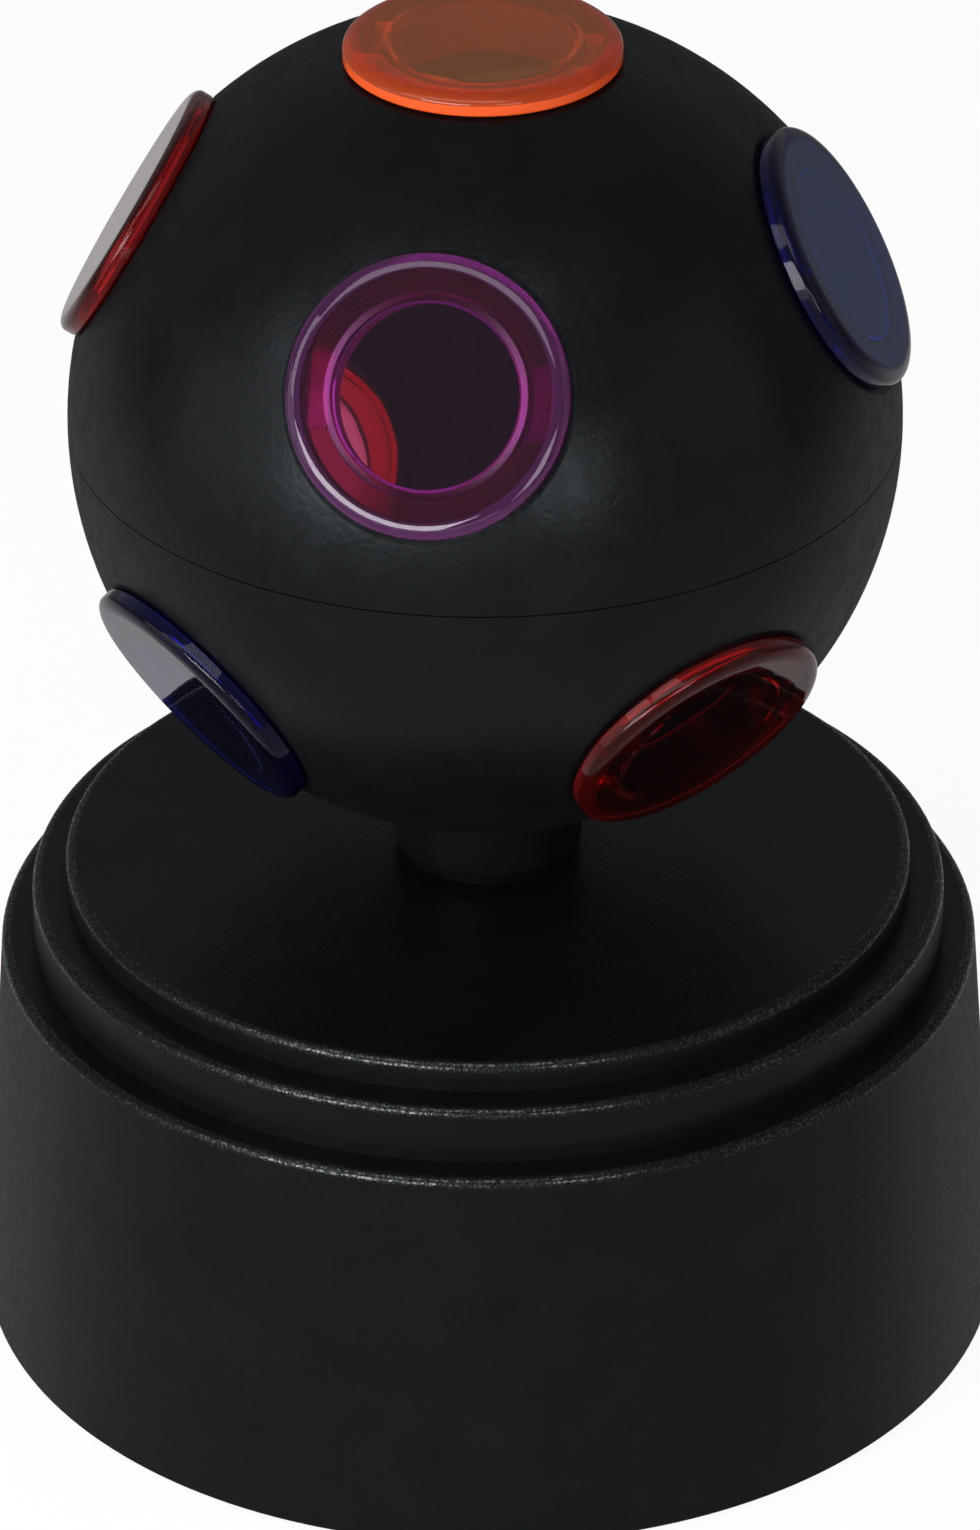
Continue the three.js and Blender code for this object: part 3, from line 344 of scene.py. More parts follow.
def moulded(name, dark, light, rough, grain, relief, **values):
    """Moulded plastic or rubber: cloudy tone, uneven gloss that dulls edge on, fine grain.

    Faces that carry the mark edge have a deeper grain with glossy tips.
    """
    look = Look(name).set(Coat_Roughness=0.12, **values)
    look.base(look.colours(look.noise(CLOUD, 4), (0.3, dark), (0.7, light)))
    facing = look.add("ShaderNodeLayerWeight").outputs["Facing"]
    edge_on = look.span(facing, 0, 0.3, 0.4, 0.9)
    edge = look.mark("edge")
    gloss = look.span(look.noise(grain * 3, 3), *rough)
    uneven = look.product(gloss, look.span(edge, 1, 0.75, 0, 1))
    look.rough(look.total(uneven, edge_on))
    tips = look.product(look.span(look.noise(grain * 1.1, 1), 0, 0.65, 0.5, 0.62), edge)
    look.join(tips, look.shader.inputs["Coat Weight"])
    deeper = look.span(edge, 1, EDGE_GRAIN, 0, 1)
    fine = look.bump(look.product(look.noise(grain, 1.5), deeper), relief)
    look.bump(look.noise(CLOUD * 2, 1), relief * 2, fine)
    return look.material


def metal(name, dark, light, rough, brushed=(1, 1, 1)):
    """Plated or drawn metal: faint streaks and stains on a bright ground."""
    look = Look(name).set(Metallic=1.0)
    look.base(look.colours(look.noise(2.2, 5), (0.3, dark), (0.7, light)))
    streaks = look.noise(0.25, 3, brushed)
    look.rough(look.span(streaks, *rough))
    look.bump(streaks, 0.006)
    return look.material


def clear(name, tints, shares, depth_colour, density, rim_gloss=0.03, shine=0.25):
    """Clear coloured plastic that deepens with its thickness.

    Tints and shares of milky light are for its polished face, the ring over its collar,
    the underside of its rim, its collar, its rounded rim and its outer edge. The milky light on
    the ring, the underside, the collar and the rim is painted glow that stands in for light
    carried inside the plastic.
    """
    look = Look(name).set(IOR=1.49, Specular_IOR_Level=0.1, Specular_Tint=(shine, shine, shine, 1))
    look.join(look.span(look.mark("round"), 0, rim_gloss, 0, 1), look.shader.inputs["Coat Weight"])
    zone = look.mark("zone")
    places = (FACE, PAINTED_RING, UNDERSIDE, COLLAR, ROUND, EDGE)
    hazes = (0, 0, 0.12, 0.12, 0, 0.02)
    tint = look.colours(zone, *zip(places, tints))
    cloudy = look.colours(look.noise(6, 3), (0.2, (1, 1, 1)), (0.8, (0.94, 0.94, 0.94)))
    look.base(look.tinted(tint, cloudy))
    # Milky share of each zone; beyond the face it is painted glow of light carried inside the
    # plastic
    clearness = look.colours(zone, *[(p, (1 - s,) * 3) for p, s in zip(places, shares)])
    look.join(clearness, look.shader.inputs["Transmission Weight"])
    gloss = look.span(look.noise(1.4, 4), 0.01, 0.035)
    haze = look.colours(zone, *[(p, (h,) * 3) for p, h in zip(places, hazes)])
    look.rough(look.total(gloss, haze))
    look.bump(look.noise(5, 1), 0.02)
    absorb = look.add("ShaderNodeVolumeAbsorption")
    absorb.inputs["Color"].default_value = (*depth_colour, 1)
    absorb.inputs["Density"].default_value = density
    look.join(absorb.outputs["Volume"], look.volume)
    return look.material


def printed_board(name, dark, light):
    """Lacquered board with the faint ridges of tracks under the lacquer."""
    look = Look(name).set(Coat_Weight=0.4)
    look.base(look.colours(look.noise(1.5, 4), (0.35, dark), (0.65, light)))
    tracks = look.add("ShaderNodeTexBrick")
    tracks.inputs["Scale"].default_value = 1 / (4 * MM)
    tracks.inputs["Mortar Size"].default_value = 0.06
    look.join(look.place, tracks.inputs["Vector"])
    look.rough(look.span(look.noise(3), 0.3, 0.45))
    look.bump(tracks.outputs["Fac"], 0.04)
    return look.material


def cell_jacket(name):
    """Shrunk sleeve of a dry cell: pale blue-grey with a copper band at one end."""
    look = Look(name)
    axis = look.add("ShaderNodeSeparateXYZ")
    look.join(look.place, axis.inputs["Vector"])
    along = look.span(axis.outputs["X"], 0, 1, -0.025, 0.025)
    blue, copper = (0.07, 0.14, 0.26), (0.5, 0.22, 0.08)
    look.base(look.colours(along, (0.0, blue), (0.74, blue), (0.76, copper), (1.0, copper)))
    look.rough(look.span(look.noise(2, 4), 0.22, 0.4))
    look.bump(look.noise(0.8, 3), 0.01)
    return look.material


BLACK_TONES = ((0.0022, 0.0026, 0.003), (0.0032, 0.0037, 0.0042))
BLACK_SHINE = {"Specular_IOR_Level": 0.11, "Specular_Tint": (0.86, 0.95, 1.0, 1.0)}
BLACK = moulded("satin black plastic", *BLACK_TONES, (0.2, 0.3), 0.3, 0.03, **BLACK_SHINE)
BALL_BLACK = moulded(
    "speckled black plastic", *BLACK_TONES, (0.24, 0.34), 0.8, 0.035, **BLACK_SHINE
)
# Bush plastic painted darker than the plate black, standing in for the shade under the ball, with
# little gloss
SHADED_BUSH_BLACK = moulded(
    "dull black bush plastic painted darker for shade",
    (0.001, 0.0012, 0.0012),
    (0.002, 0.0023, 0.0023),
    (0.6, 0.7),
    0.4,
    0.03,
    Specular_IOR_Level=0.02,
)
PLATE_BLACK = moulded(
    "matt black plastic",
    (0.008, 0.009, 0.009),
    (0.014, 0.015, 0.015),
    (0.55, 0.7),
    0.5,
    0.03,
    Specular_IOR_Level=0.3,
)
RUBBER = moulded(
    "foot rubber", (0.012, 0.012, 0.012), (0.022, 0.022, 0.022), (0.75, 0.95), 0.4, 0.04
)
PALE_GEAR = moulded(
    "pale gear plastic", (0.66, 0.62, 0.52), (0.74, 0.7, 0.6), (0.3, 0.42), 0.6, 0.008
)
WHITE_FRAME = moulded(
    "frame plastic", (0.52, 0.52, 0.49), (0.62, 0.62, 0.59), (0.4, 0.55), 0.5, 0.012
)
BOARD_WHITE = printed_board("white lamp board", (0.7, 0.7, 0.68), (0.8, 0.8, 0.78))
BOARD_GREEN = printed_board("green circuit board", (0.02, 0.12, 0.05), (0.04, 0.17, 0.08))
JACKET = cell_jacket("cell sleeve")
STEEL = metal("zinc-plated steel", (0.42, 0.43, 0.44), (0.6, 0.6, 0.6), (0.22, 0.4))
TIN = metal("tin-plated steel", (0.5, 0.5, 0.48), (0.66, 0.66, 0.63), (0.25, 0.45), (1, 1, 0.1))
BRASS = metal("turned brass", (0.5, 0.32, 0.09), (0.68, 0.46, 0.16), (0.2, 0.36))
LEADS = {
    colour: moulded(colour + " lead sleeve", dark, light, (0.4, 0.55), 0.4, 0.01)
    for colour, dark, light in (
        ("white", (0.6, 0.6, 0.58), (0.7, 0.7, 0.68)),
        ("black", (0.01, 0.01, 0.01), (0.018, 0.018, 0.018)),
        ("red", (0.28, 0.015, 0.012), (0.38, 0.025, 0.02)),
    )
}
LIGHT = clear(
    "clear lamp resin",
    ((0.97, 0.97, 0.95),) * 6,
    (0.02,) * 6,
    depth_colour=(0.96, 0.96, 0.9),
    density=8,
)
# Lens plastics: tints and milky shares for face, ring, underside, collar, rim and edge; the shares
# beyond the face are painted glow of light carried inside the plastic
GLASSES = {
    "orange": clear(
        "orange lens plastic",
        (
            (0.68, 0.23, 0.03),
            (1, 0.2, 0.04),
            (1, 0.1, 0.03),
            (1, 0.15, 0.05),
            (1, 0.17, 0.04),
            (1, 0.14, 0.03),
        ),
        (0.15, 0.25, 0.2, 0.6, 0.15, 0.45),
        depth_colour=(1.0, 0.75, 0.4),
        density=300,
        shine=0.4,
    ),
    "purple": clear(
        "purple lens plastic",
        (
            (1, 0.55, 0.9),
            (1, 0.17, 0.85),
            (0.28, 0.015, 0.055),
            (1, 0.2, 0.8),
            (0.6, 0.15, 0.75),
            (0.5, 0.12, 0.65),
        ),
        (0.003, 0.12, 0.13, 0.3, 0.03, 0.05),
        depth_colour=(0.78, 0.2, 0.72),
        density=500,
        rim_gloss=0.15,
        shine=0.6,
    ),
    # Upper blue lenses: the face's milky blue share is painted light, standing in for light from
    # behind through the ball
    "blue": clear(
        "blue lens plastic",
        (
            (0.25, 0.45, 1),
            (0.2, 0.2, 1),
            (0.05, 0.05, 0.3),
            (0.05, 0.05, 0.35),
            (0.1, 0.1, 0.5),
            (0.1, 0.1, 0.6),
        ),
        (0.045, 0.07, 0.015, 0.03, 0.01, 0.015),
        depth_colour=(0.1, 0.15, 0.75),
        density=500,
    ),
    # Copy of the blue plastic painted darker, for the shade on the lower blue lenses that face the
    # base
    "deep_blue": clear(
        "blue lens plastic painted darker for shade",
        (
            (0.2, 0.22, 0.7),
            (0.2, 0.2, 1),
            (0.05, 0.05, 0.3),
            (0.03, 0.03, 0.25),
            (0.1, 0.1, 0.5),
            (0.1, 0.1, 0.6),
        ),
        (0.006, 0.04, 0.015, 0.02, 0.008, 0.015),
        depth_colour=(0.1, 0.12, 0.7),
        density=500,
    ),
    "red": clear(
        "red lens plastic",
        (
            (0.98, 0.65, 0.65),
            (0.9, 0.2, 0.2),
            (0.7, 0.1, 0.1),
            (0.9, 0.1, 0.1),
            (0.9, 0.06, 0.06),
            (0.9, 0.06, 0.06),
        ),
        (0.001, 0.01, 0.02, 0.01, 0.012, 0.035),
        depth_colour=(0.9, 0.15, 0.15),
        density=500,
    ),
}

CAD_LOOKS = (
    (PLATE_BLACK, "bottom_plate", "battery_door", "switch_knob"),
    (JACKET, "cell_1", "cell_2", "cell_3"),
    (TIN, "contact_left_single", "contact_left_link", "contact_right_link"),
    (TIN, "contact_right_single", "lamp_stem"),
    (STEEL, "frame_screw_1", "frame_screw_2", "frame_screw_3"),
    (STEEL, "motor_screw_1", "motor_screw_2", "motor_can", "motor_shaft"),
    (STEEL, "idler_pin", "idler_clip", "switch_body"),
    (BRASS, "motor_pinion", "stem_nut"),
    (WHITE_FRAME, "gear_frame", "motor_gear_case", "ball_lock_nut"),
    (PALE_GEAR, "idler_gear", "drive_gear", "drive_tube"),
    (BOARD_WHITE, "light_board"),
    (BOARD_GREEN, "circuit_board"),
    (LEADS["white"], "light_lead"),
    (LEADS["black"], "battery_lead_minus", "motor_lead"),
    (LEADS["red"], "battery_lead_plus"),
)


def dress_cad_nodes():
    """Gives each solid that stays in view its material and softened edges."""
    for material, *names in CAD_LOOKS:
        for name in names:
            node = frame["nodes"][name]
            node.data.materials.clear()
            node.data.materials.append(material)
            edges = node.modifiers.new("soft edges", "BEVEL")
            edges.width = SOFT_EDGE * MM
            edges.segments = 2
            edges.limit_method = "ANGLE"
            edges.angle_limit = math.radians(SOFT_EDGE_ANGLE)


# Mesh tools, all in millimetres until the object is made
def lathe(points, segments=96, closed=False):
    """Mesh turned about Z from points of radius and height."""
    shape = bmesh.new()
    rings = []
    for radius, z in points:
        if radius == 0:
            rings.append([shape.verts.new((0, 0, z))])
            continue
        ring = []
        for i in range(segments):
            turn = 2 * math.pi * i / segments
            ring.append(shape.verts.new((radius * math.cos(turn), radius * math.sin(turn), z)))
        rings.append(ring)
    pairs = list(zip(rings, rings[1:]))
    if closed:
        pairs.append((rings[-1], rings[0]))
    for low, high in pairs:
        for i in range(segments):
            j = (i + 1) % segments
            corners = [low[i % len(low)], low[j % len(low)]]
            corners += [high[j % len(high)], high[i % len(high)]]
            corners = [c for n, c in enumerate(corners) if c not in corners[:n]]
            if len(corners) > 2:
                shape.faces.new(corners)
    bmesh.ops.recalc_face_normals(shape, faces=shape.faces)
    return shape


def rounded(radius, z, size, width=None, steps=6):
    """Points of an outer corner that rises from a wall at radius to a flat at height z.

    The rounding is size high, and as wide unless another width is given.
    """
    width = width or size
    points = []
    for step in range(steps + 1):
        angle = math.pi / 2 * step / steps
        inward, below = width * (1 - math.cos(angle)), size * (1 - math.sin(angle))
        points.append((radius - inward, z - below))
    return points


def block(low, high):
    """Box from its lowest to its highest corner."""
    shape = bmesh.new()
    bmesh.ops.create_cube(shape, size=1)
    low, high = Vector(low), Vector(high)
    size = high - low
    for vertex in shape.verts:
        vertex.co = [low[i] + size[i] * (vertex.co[i] + 0.5) for i in range(3)]
    return shape


def make(name, shape, turn=Matrix.Identity(4), at=(0, 0, 0)):
    """Object from a mesh in millimetres, smooth but for its sharp edges."""
    shape.transform(Matrix.Scale(MM, 4) @ Matrix.Translation(at) @ turn)
    mesh = bpy.data.meshes.new(name)
    shape.to_mesh(mesh)
    shape.free()
    thing = bpy.data.objects.new(name, mesh)
    bpy.context.scene.collection.objects.link(thing)
    mesh.shade_smooth()
    mesh.set_sharp_from_angle(angle=math.radians(SHARP))
    return thing


def even_shading(thing):
    """Keeps broad faces flat where they meet a rounded edge."""
    normals = thing.modifiers.new("even shading", "WEIGHTED_NORMAL")
    normals.keep_sharp = True
    normals.weight = 100


def combine(thing, others, operation):
    """Cuts, or joins, other objects into one and takes them away."""
    for other in others:
        step = thing.modifiers.new("combine", "BOOLEAN")
        step.operation = operation
        step.solver = "EXACT"
        step.object = other
    bpy.context.view_layer.update()
    graph = bpy.context.evaluated_depsgraph_get()
    result = bpy.data.meshes.new_from_object(thing.evaluated_get(graph))
    thing.modifiers.clear()
    thing.data = result
    for other in others:
        bpy.data.objects.remove(other)


def finish_piece(thing, material, body, slot, *nodes):
    """Gives a smooth piece its material and its place in the frame."""
    thing.data.materials.clear()
    thing.data.materials.append(material)
    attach(thing, body)
    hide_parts(*nodes)


# Base housing with the slot of its switch behind
def base_housing():
    lean = (HOUSING_RADIUS - WALL_TOP[0]) / (WALL_TOP[1] - HOUSING_FOOT)

    def wall(z):
        return HOUSING_RADIUS - lean * (z - HOUSING_FOOT)

    chamfer_top = HOUSING_FOOT + HOUSING_CHAMFER
    outside = [(wall(HOUSING_FOOT) - HOUSING_CHAMFER, HOUSING_FOOT)]
    outside.append((wall(chamfer_top), chamfer_top))
    outside += [(wall(z), z) for z in SLOT_HEIGHTS]
    outside += rounded(*WALL_TOP, HOUSING_ROUND, steps=ROUND_STEPS)
    outside.append((LOWER_STEP[0], WALL_TOP[1]))
    outside += rounded(*LOWER_STEP, HOUSING_ROUND, steps=ROUND_STEPS)
    outside.append((PLATEAU[0], LOWER_STEP[1]))
    outside += rounded(*PLATEAU, HOUSING_ROUND, steps=ROUND_STEPS)
    outside.append((BUSH_BORE, PLATEAU[1]))
    drop = HOUSING_WALL
    inside = [
        (BUSH_BORE, PLATEAU[1] - BOSS_DEPTH),
        (BUSH_BORE + BOSS_WALL, PLATEAU[1] - BOSS_DEPTH),
        (BUSH_BORE + BOSS_WALL, PLATEAU[1] - drop),
        (PLATEAU[0] - drop, PLATEAU[1] - drop),
        (PLATEAU[0] - drop, LOWER_STEP[1] - drop),
        (LOWER_STEP[0] - drop, LOWER_STEP[1] - drop),
        (LOWER_STEP[0] - drop, WALL_TOP[1] - drop),
        (wall(WALL_TOP[1] - drop) - drop, WALL_TOP[1] - drop),
        (wall(SLOT_HEIGHTS[1]) - drop, SLOT_HEIGHTS[1]),
        (wall(SLOT_HEIGHTS[0]) - drop, SLOT_HEIGHTS[0]),
        (wall(HOUSING_FOOT) - drop, HOUSING_FOOT),
    ]
    housing = make("base_housing_form", lathe(outside + inside, HOUSING_SEGMENTS, closed=True))
    slot = block(
        (-SLOT_HALF_WIDTH, HOUSING_RADIUS - SLOT_CUT[0], SLOT_HEIGHTS[0]),
        (SLOT_HALF_WIDTH, HOUSING_RADIUS + SLOT_CUT[1], SLOT_HEIGHTS[1]),
    )
    combine(housing, [make("slot", slot)], "DIFFERENCE")
    edge = housing.data.attributes.new("edge", "FLOAT", "FACE")
    for face in housing.data.polygons:
        place = face.center / MM
        out = math.hypot(place.x, place.y)
        for radius, z in (WALL_TOP, LOWER_STEP, PLATEAU):
            if out > radius - HOUSING_ROUND and 0 < z - place.z < HOUSING_ROUND:
                edge.data[face.index].value = 1.0
    even_shading(housing)
    finish_piece(housing, BLACK, "base", "black_shell", "base_housing")


def neck_bush():
    points = [(TUBE_BORE, BUSH_FOOT), (BUSH_RADIUS, BUSH_FOOT)]
    points += [(BUSH_RADIUS, PLATEAU[1]), (FLANGE_RADIUS, PLATEAU[1])]
    points += rounded(FLANGE_RADIUS, FLANGE_TOP, FLANGE_ROUND, steps=3)
    points += [(TUBE_BORE + BUSH_CHAMFER, FLANGE_TOP), (TUBE_BORE, FLANGE_TOP - BUSH_CHAMFER)]
    bush = make("neck_bush_form", lathe(points, closed=True))
    even_shading(bush)
    # The bush takes the black painted darker for the shade under the ball
    finish_piece(bush, SHADED_BUSH_BLACK, "base", "black_plate", "neck_bush")


# Ball shells
def ball_part(radius, rings, distance, upper, cuts):
    """Ball with a flat across it under each lens of one half, and cut by further planes."""
    shape = bmesh.new()
    bmesh.ops.create_uvsphere(shape, u_segments=rings * 2, v_segments=rings, radius=radius)
    planes = list(cuts)
    for _, azimuth, elevation, spin in LENSES.values():
        if (elevation > 0) == upper:
            outward = lens_turn(azimuth, elevation, spin) @ UP
            planes.append((outward * distance, outward))
    for place, outward in planes:
        cut = bmesh.ops.bisect_plane(
            shape,
            geom=shape.verts[:] + shape.edges[:] + shape.faces[:],
            dist=CUT_TOUCH,
            plane_co=place,
            plane_no=outward,
            clear_outer=True,
        )
        rim = [e for e in cut["geom_cut"] if isinstance(e, bmesh.types.BMEdge)]
        bmesh.ops.contextual_create(shape, geom=rim)
    bmesh.ops.recalc_face_normals(shape, faces=shape.faces)
    return shape


def lens_holes(upper):
    """Round opening under each lens of one half."""
    low, high = HOLE_SPAN
    holes = []
    for _, azimuth, elevation, spin in LENSES.values():
        if (elevation > 0) == upper:
            turn = lens_turn(azimuth, elevation, spin)
            points = [(0, low), (SEAT_RADIUS, low), (SEAT_RADIUS, high), (0, high)]
            hole = lathe(points, LENS_SEGMENTS)
            holes.append(make("hole", hole, turn, (0, 0, BALL_Z)))
    return holes


def round_shading(thing, *radii):
    """Sets the exact normals of the ball on faces that lie on one of its round surfaces.

    A negative radius is a surface that faces the centre.
    """
    centre = Vector((0, 0, BALL_Z * MM))
    mesh = thing.data
    normals = [(0, 0, 0)] * len(mesh.loops)
    for face in mesh.polygons:
        spots = [mesh.vertices[i].co - centre for i in face.vertices]
        for radius in radii:
            if all(abs(spot.length - abs(radius) * MM) < SURFACE_TOUCH for spot in spots):
                way = 1 if radius > 0 else -1
                for loop, spot in zip(face.loop_indices, spots):
                    normals[loop] = (spot * way).normalized()
    mesh.normals_split_custom_set(normals)


def ball_shell(name, upper):
    """Upper or lower shell, the lower one with the neck, hollow and open under its lenses."""
    away = -1 if upper else 1
    seam = Vector((0, 0, SEAM[1] if upper else SEAM[0]))
    outside = ball_part(BALL_RADIUS, OUTER_RINGS, SEAT_DISTANCE, upper, [(seam, UP * away)])
    shell = make(name, outside, at=(0, 0, BALL_Z))
    cavity = BALL_RADIUS - BALL_WALL
    floor = Vector((0, 0, BELOW_BALL if upper else BALL_FLOOR - BALL_Z))
    inside = ball_part(cavity, INNER_RINGS, SEAT_DISTANCE - SEAT_WALL, upper, [(floor, -UP)])
    if not upper:
        neck = [(0, BALL_FLOOR), (NECK_RADIUS, BALL_FLOOR)]
        corner = rounded(NECK_RADIUS, NECK_FOOT, NECK_ROUND, steps=5)
        neck += [(r, 2 * NECK_FOOT - z) for r, z in corner]
        neck.append((0, NECK_FOOT))
        combine(shell, [make("neck", lathe(neck))], "UNION")
    cutters = [make("inside", inside, at=(0, 0, BALL_Z))] + lens_holes(upper)
    if not upper:
        low, high = BORE_SPAN
        bore = [(0, low), (TUBE_BORE, low), (TUBE_BORE, high), (0, high)]
        cutters.append(make("bore", lathe(bore)))
    combine(shell, cutters, "DIFFERENCE")
    shell.data.shade_smooth()
    shell.data.set_sharp_from_angle(angle=math.radians(SHELL_SHARP))
    round_shading(shell, BALL_RADIUS, -cavity)
    return shell


def ball():
    upper = ball_shell("upper_shell_form", True)
    finish_piece(upper, BALL_BLACK, "ball", "black_shell", "upper_shell")
    lower = ball_shell("lower_shell_form", False)
    finish_piece(lower, BALL_BLACK, "ball", "black_shell", "lower_shell")
    edge = BALL_RADIUS - BALL_WALL
    lip = [(edge - LIP_DEPTH, LIP_FOOT), (edge + LIP_GRIP, LIP_FOOT), (edge + LIP_GRIP, 0)]
    lip += [(edge - LIP_GAP, 0), (edge - LIP_GAP, LIP_TOPS[0]), (edge - LIP_DEPTH, LIP_TOPS[1])]
    ring = make("shell_lip", lathe(lip, LENS_SEGMENTS, closed=True), at=(0, 0, BALL_Z))
    even_shading(ring)
    finish_piece(ring, BLACK, "ball", "black_shell", "lower_shell")


# Lenses
def lens_shape():
    """One lens about its own axis, its rim's underside at zero, as an object."""
    inner = COLLAR_RADIUS - COLLAR_WALL
    window = LENS_THICKNESS - LENS_WINDOW
    cut = LENS_CHAMFER
    points = [(0, window), (inner - WINDOW_CHAMFER, window), (inner, window - WINDOW_CHAMFER)]
    points += [(inner, -COLLAR_LENGTH + cut), (inner + cut, -COLLAR_LENGTH)]
    points += [(COLLAR_RADIUS - cut, -COLLAR_LENGTH), (COLLAR_RADIUS, -COLLAR_LENGTH + cut)]
    points += [(COLLAR_RADIUS, 0), (LENS_RADIUS - cut, 0), (LENS_RADIUS, cut)]
    points += rounded(LENS_RADIUS, LENS_THICKNESS, LENS_ROUND, LENS_ROUND_WIDTH, steps=10)
    points += [(r, LENS_THICKNESS) for r in (PAINTED_RING_SPAN[1], sum(PAINTED_RING_SPAN) / 2, PAINTED_RING_SPAN[0], 0)]
    lens = make("lens", lathe(points, LENS_SEGMENTS))
    hook = -LENS_LIFT - SEAT_WALL - LENS_LIFT
    tabs = []
    for side in (-1, 1):
        for reach, top in ((TAB_REACH, TAB_TOP), (HOOK_REACH, hook)):
            ends = sorted((side * (inner + TAB_ROOT), side * reach))
            low = (ends[0], -TAB_HALF_WIDTH, hook - HOOK_HEIGHT)
            tabs.append(make("tab", block(low, (ends[1], TAB_HALF_WIDTH, top))))
    combine(lens, tabs, "UNION")
    zone = lens.data.attributes.new("zone", "FLOAT", "FACE")
    rounding = lens.data.attributes.new("round", "FLOAT", "FACE")
    for face in lens.data.polygons:
        place = face.center / MM
        out = math.hypot(place.x, place.y)
        mark = FACE
        if place.z < -LEVEL_TOUCH and out > inner - COLLAR_MARGIN:
            mark = COLLAR
        elif abs(place.z) < LEVEL_TOUCH and out > COLLAR_RADIUS:
            mark = UNDERSIDE
        elif out > LENS_RADIUS - LENS_EDGE[0] and place.z < LENS_EDGE[1]:
            mark = EDGE
        elif out > LENS_RADIUS - LENS_ROUND_WIDTH:
            mark = ROUND
        # Painted glow ring on the face over the collar, full at two sides and fading between them
        elif place.z > LENS_THICKNESS - LEVEL_TOUCH and PAINTED_RING_SPAN[0] < out < PAINTED_RING_SPAN[1]:
            mark = PAINTED_RING * (place.x / out) ** PAINTED_RING_FADE
        zone.data[face.index].value = mark
        if place.z > ROUND_FROM and out > LENS_RADIUS - LENS_ROUND_WIDTH:
            rounding.data[face.index].value = 1.0
    return lens


def lenses():
    pattern = lens_shape()
    for name, (colour, azimuth, elevation, spin) in LENSES.items():
        lift = Matrix.Translation((0, 0, SEAT_DISTANCE + LENS_LIFT))
        shape = bmesh.new()
        shape.from_mesh(pattern.data)
        shape.transform(Matrix.Scale(1 / MM, 4))
        turn = lens_turn(azimuth, elevation, spin) @ lift
        lens = make(name + "_form", shape, turn, (0, 0, BALL_Z))
        even_shading(lens)
        finish_piece(lens, GLASSES[colour], "ball", "lens_" + colour.split("_")[-1], name)
    bpy.data.objects.remove(pattern)


# Lamps, feet and the screws under the base
def middle(node):
    """Middle, foot and top of a solid, in millimetres."""
    low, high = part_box(node)
    return (low + high) / (2 * MM), low.z / MM, high.z / MM


def lamps():
    for index in (1, 2, 3):
        node = f"led_{index}"
        centre, low, high = middle(node)
        wide, thick = LED_FLANGE
        dome = high - low - LED_RADIUS
        points = [(0, 0), (wide, 0), (wide, thick - LED_CHAMFER), (wide - LED_CHAMFER, thick)]
        points += [(LED_RADIUS, thick), (LED_RADIUS, dome)]
        for step in range(1, LED_STEPS):
            angle = math.radians(90 * step / LED_STEPS)
            points.append((LED_RADIUS * math.cos(angle), dome + LED_RADIUS * math.sin(angle)))
        points.append((0, high - low))
        lamp = make(node + "_form", lathe(points, 32), at=(centre.x, centre.y, low))
        even_shading(lamp)
        finish_piece(lamp, LIGHT, "base", "clear_light", node)


def feet():
    for index in (1, 2, 3, 4):
        node = f"foot_{index}"
        centre, low, high = middle(node)
        points = [(0, high), (FOOT_RADIUS, high)]
        corner = rounded(FOOT_RADIUS, high - low, FOOT_ROUND, steps=5)
        points += [(r, high - z) for r, z in corner]
        points.append((0, low))
        foot = make(node + "_form", lathe(points, 48), at=(centre.x, centre.y, 0))
        even_shading(foot)
        finish_piece(foot, RUBBER, "base", "rubber", node)


def screws():
    for node in [f"plate_screw_{i}" for i in (1, 2, 3, 4)] + ["battery_door_screw"]:
        centre, low, high = middle(node)
        points = [(0, low)] + [(r, low + z) for r, z in SCREW_HEAD]
        points += [(SCREW_SHANK, low + SCREW_HEAD[-1][1])]
        points += [(SCREW_SHANK, high - SCREW_TIP), (0, high)]
        screw = make(node + "_form", lathe(points, 32), at=(centre.x, centre.y, 0))
        cross = []
        for wide, deep in (CROSS_ARM, CROSS_ARM[::-1]):
            bar = block((-wide, -deep, low - 1), (wide, deep, low + CROSS_DEPTH))
            turn = Matrix.Rotation(CROSS_TURN, 4, "Z")
            cross.append(make("cross", bar, turn, (centre.x, centre.y, 0)))
        combine(screw, cross, "DIFFERENCE")
        even_shading(screw)
        finish_piece(screw, STEEL, frame["nodes"][node]["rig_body"], "steel", node)


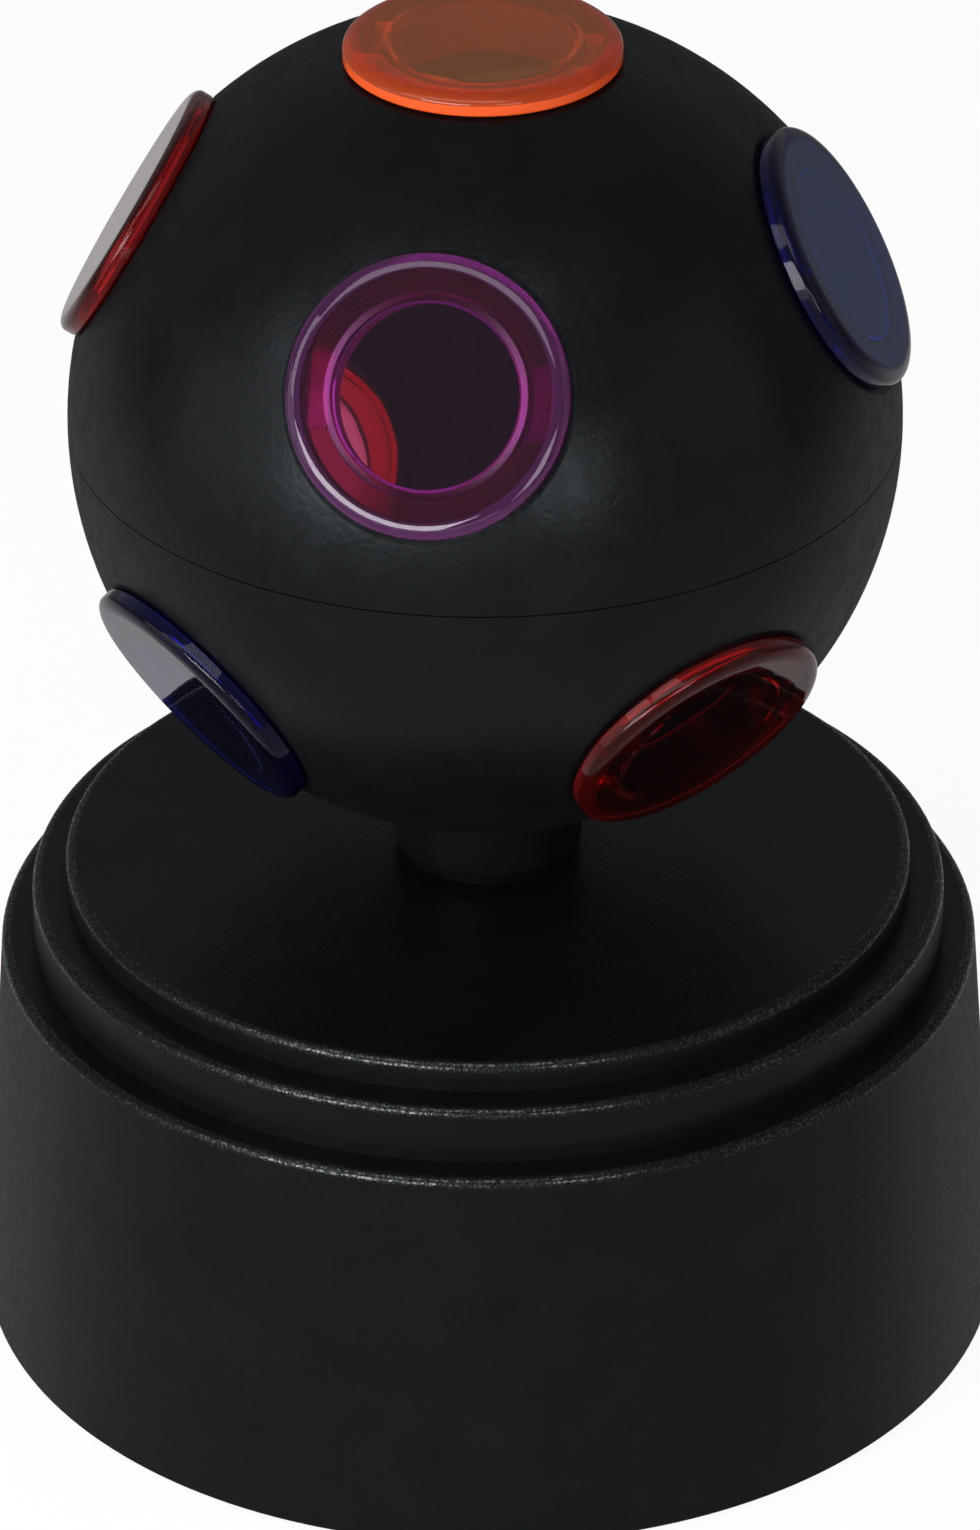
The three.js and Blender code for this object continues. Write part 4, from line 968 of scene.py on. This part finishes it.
# Studio: floor that curves up all round, dim room, soft lamps and the camera
def stage():
    """Floor that shows pale to the camera and, dimmer, in gloss, and the light of the room."""
    points = [(0, 0), (FLOOR_RADIUS, 0)]
    for step in range(1, FLOOR_STEPS + 1):
        angle = math.radians(FLOOR_SWEEP * step / FLOOR_STEPS)
        out, rise = FLOOR_CURVE * math.sin(angle), FLOOR_CURVE * (1 - math.cos(angle))
        points.append((FLOOR_RADIUS + out, rise))
    floor = make("floor", lathe(points))
    look = Look("pale paper floor")
    look.base(look.colours(look.noise(40, 3), (0.3, (0.86, 0.86, 0.86)), (0.7, (0.9, 0.9, 0.9))))
    look.rough(look.span(look.noise(15, 3), 0.85, 0.95))
    ray = look.add("ShaderNodeLightPath")
    away = look.add("ShaderNodeVectorMath", operation="LENGTH")
    look.join(look.place, away.inputs[0])
    fade = look.span(away.outputs["Value"], 1, FAR_GLOW, *LIT_FLOOR)
    share = look.span(ray.outputs["Is Camera Ray"], 0, CAMERA_GLOW, 0, 1)
    for kind, part in RAY_GLOWS:
        share = look.worked("MAXIMUM", share, look.span(ray.outputs[kind], 0, part, 0, 1))
    dimmer = look.span(ray.outputs["Is Glossy Ray"], 1, MIRRORED_GLOW, 0, 1)
    glow = look.add("ShaderNodeEmission")
    look.join(look.product(fade, dimmer), glow.inputs["Strength"])
    mix = look.add("ShaderNodeMixShader")
    look.join(share, mix.inputs["Fac"])
    look.join(look.shader.outputs["BSDF"], mix.inputs[1])
    look.join(glow.outputs["Emission"], mix.inputs[2])
    look.join(mix.outputs["Shader"], look.surface)
    floor.data.materials.append(look.material)

    world = bpy.data.worlds.new("room")
    world.use_nodes = True
    bpy.context.scene.world = world
    room = world.node_tree.nodes["Background"]
    room.inputs["Color"].default_value = ROOM_TONE
    room.inputs["Strength"].default_value = ROOM_LEVEL


def soft_lamp(name, azimuth, elevation, width, height, power):
    """Softbox aimed at the object from degrees right of the front and above the horizon."""
    turn, rise = math.radians(azimuth), math.radians(elevation)
    level = math.cos(rise)
    way = Vector((math.sin(turn) * level, -math.cos(turn) * level, math.sin(rise)))
    data = bpy.data.lights.new(name, "AREA")
    data.shape = "RECTANGLE"
    data.size, data.size_y = width, height
    data.energy = power
    lamp = bpy.data.objects.new(name, data)
    lamp.location = Vector(LAMP_AIM) + way * LAMP_DISTANCE
    lamp.rotation_euler = way.to_track_quat("Z", "Y").to_euler()
    bpy.context.scene.collection.objects.link(lamp)


def camera():
    """Camera at the photograph's view: it dips and rolls by the named angles, in radians."""
    dip, roll = CAMERA_DIP, CAMERA_ROLL
    forward = Vector((0, math.cos(dip), -math.sin(dip)))
    level, upright = Vector((1, 0, 0)), Vector((0, math.sin(dip), math.cos(dip)))
    right = math.cos(roll) * level - math.sin(roll) * upright
    up = math.cos(roll) * upright + math.sin(roll) * level
    data = bpy.data.cameras.new("camera")
    data.lens = CAMERA_LENS
    data.sensor_width = CAMERA_SENSOR
    data.clip_start, data.clip_end = CAMERA_CLIP
    eye = bpy.data.objects.new("camera", data)
    axes = Matrix((right, up, -forward)).transposed().to_4x4()
    eye.matrix_world = Matrix.Translation(CAMERA_PLACE) @ axes
    bpy.context.scene.collection.objects.link(eye)
    bpy.context.scene.camera = eye


dress_cad_nodes()
base_housing()
neck_bush()
ball()
lenses()
lamps()
feet()
screws()
stage()
for soft_box in SOFT_LAMPS:
    soft_lamp(*soft_box)
camera()
bpy.context.scene.view_settings.view_transform = "Standard"
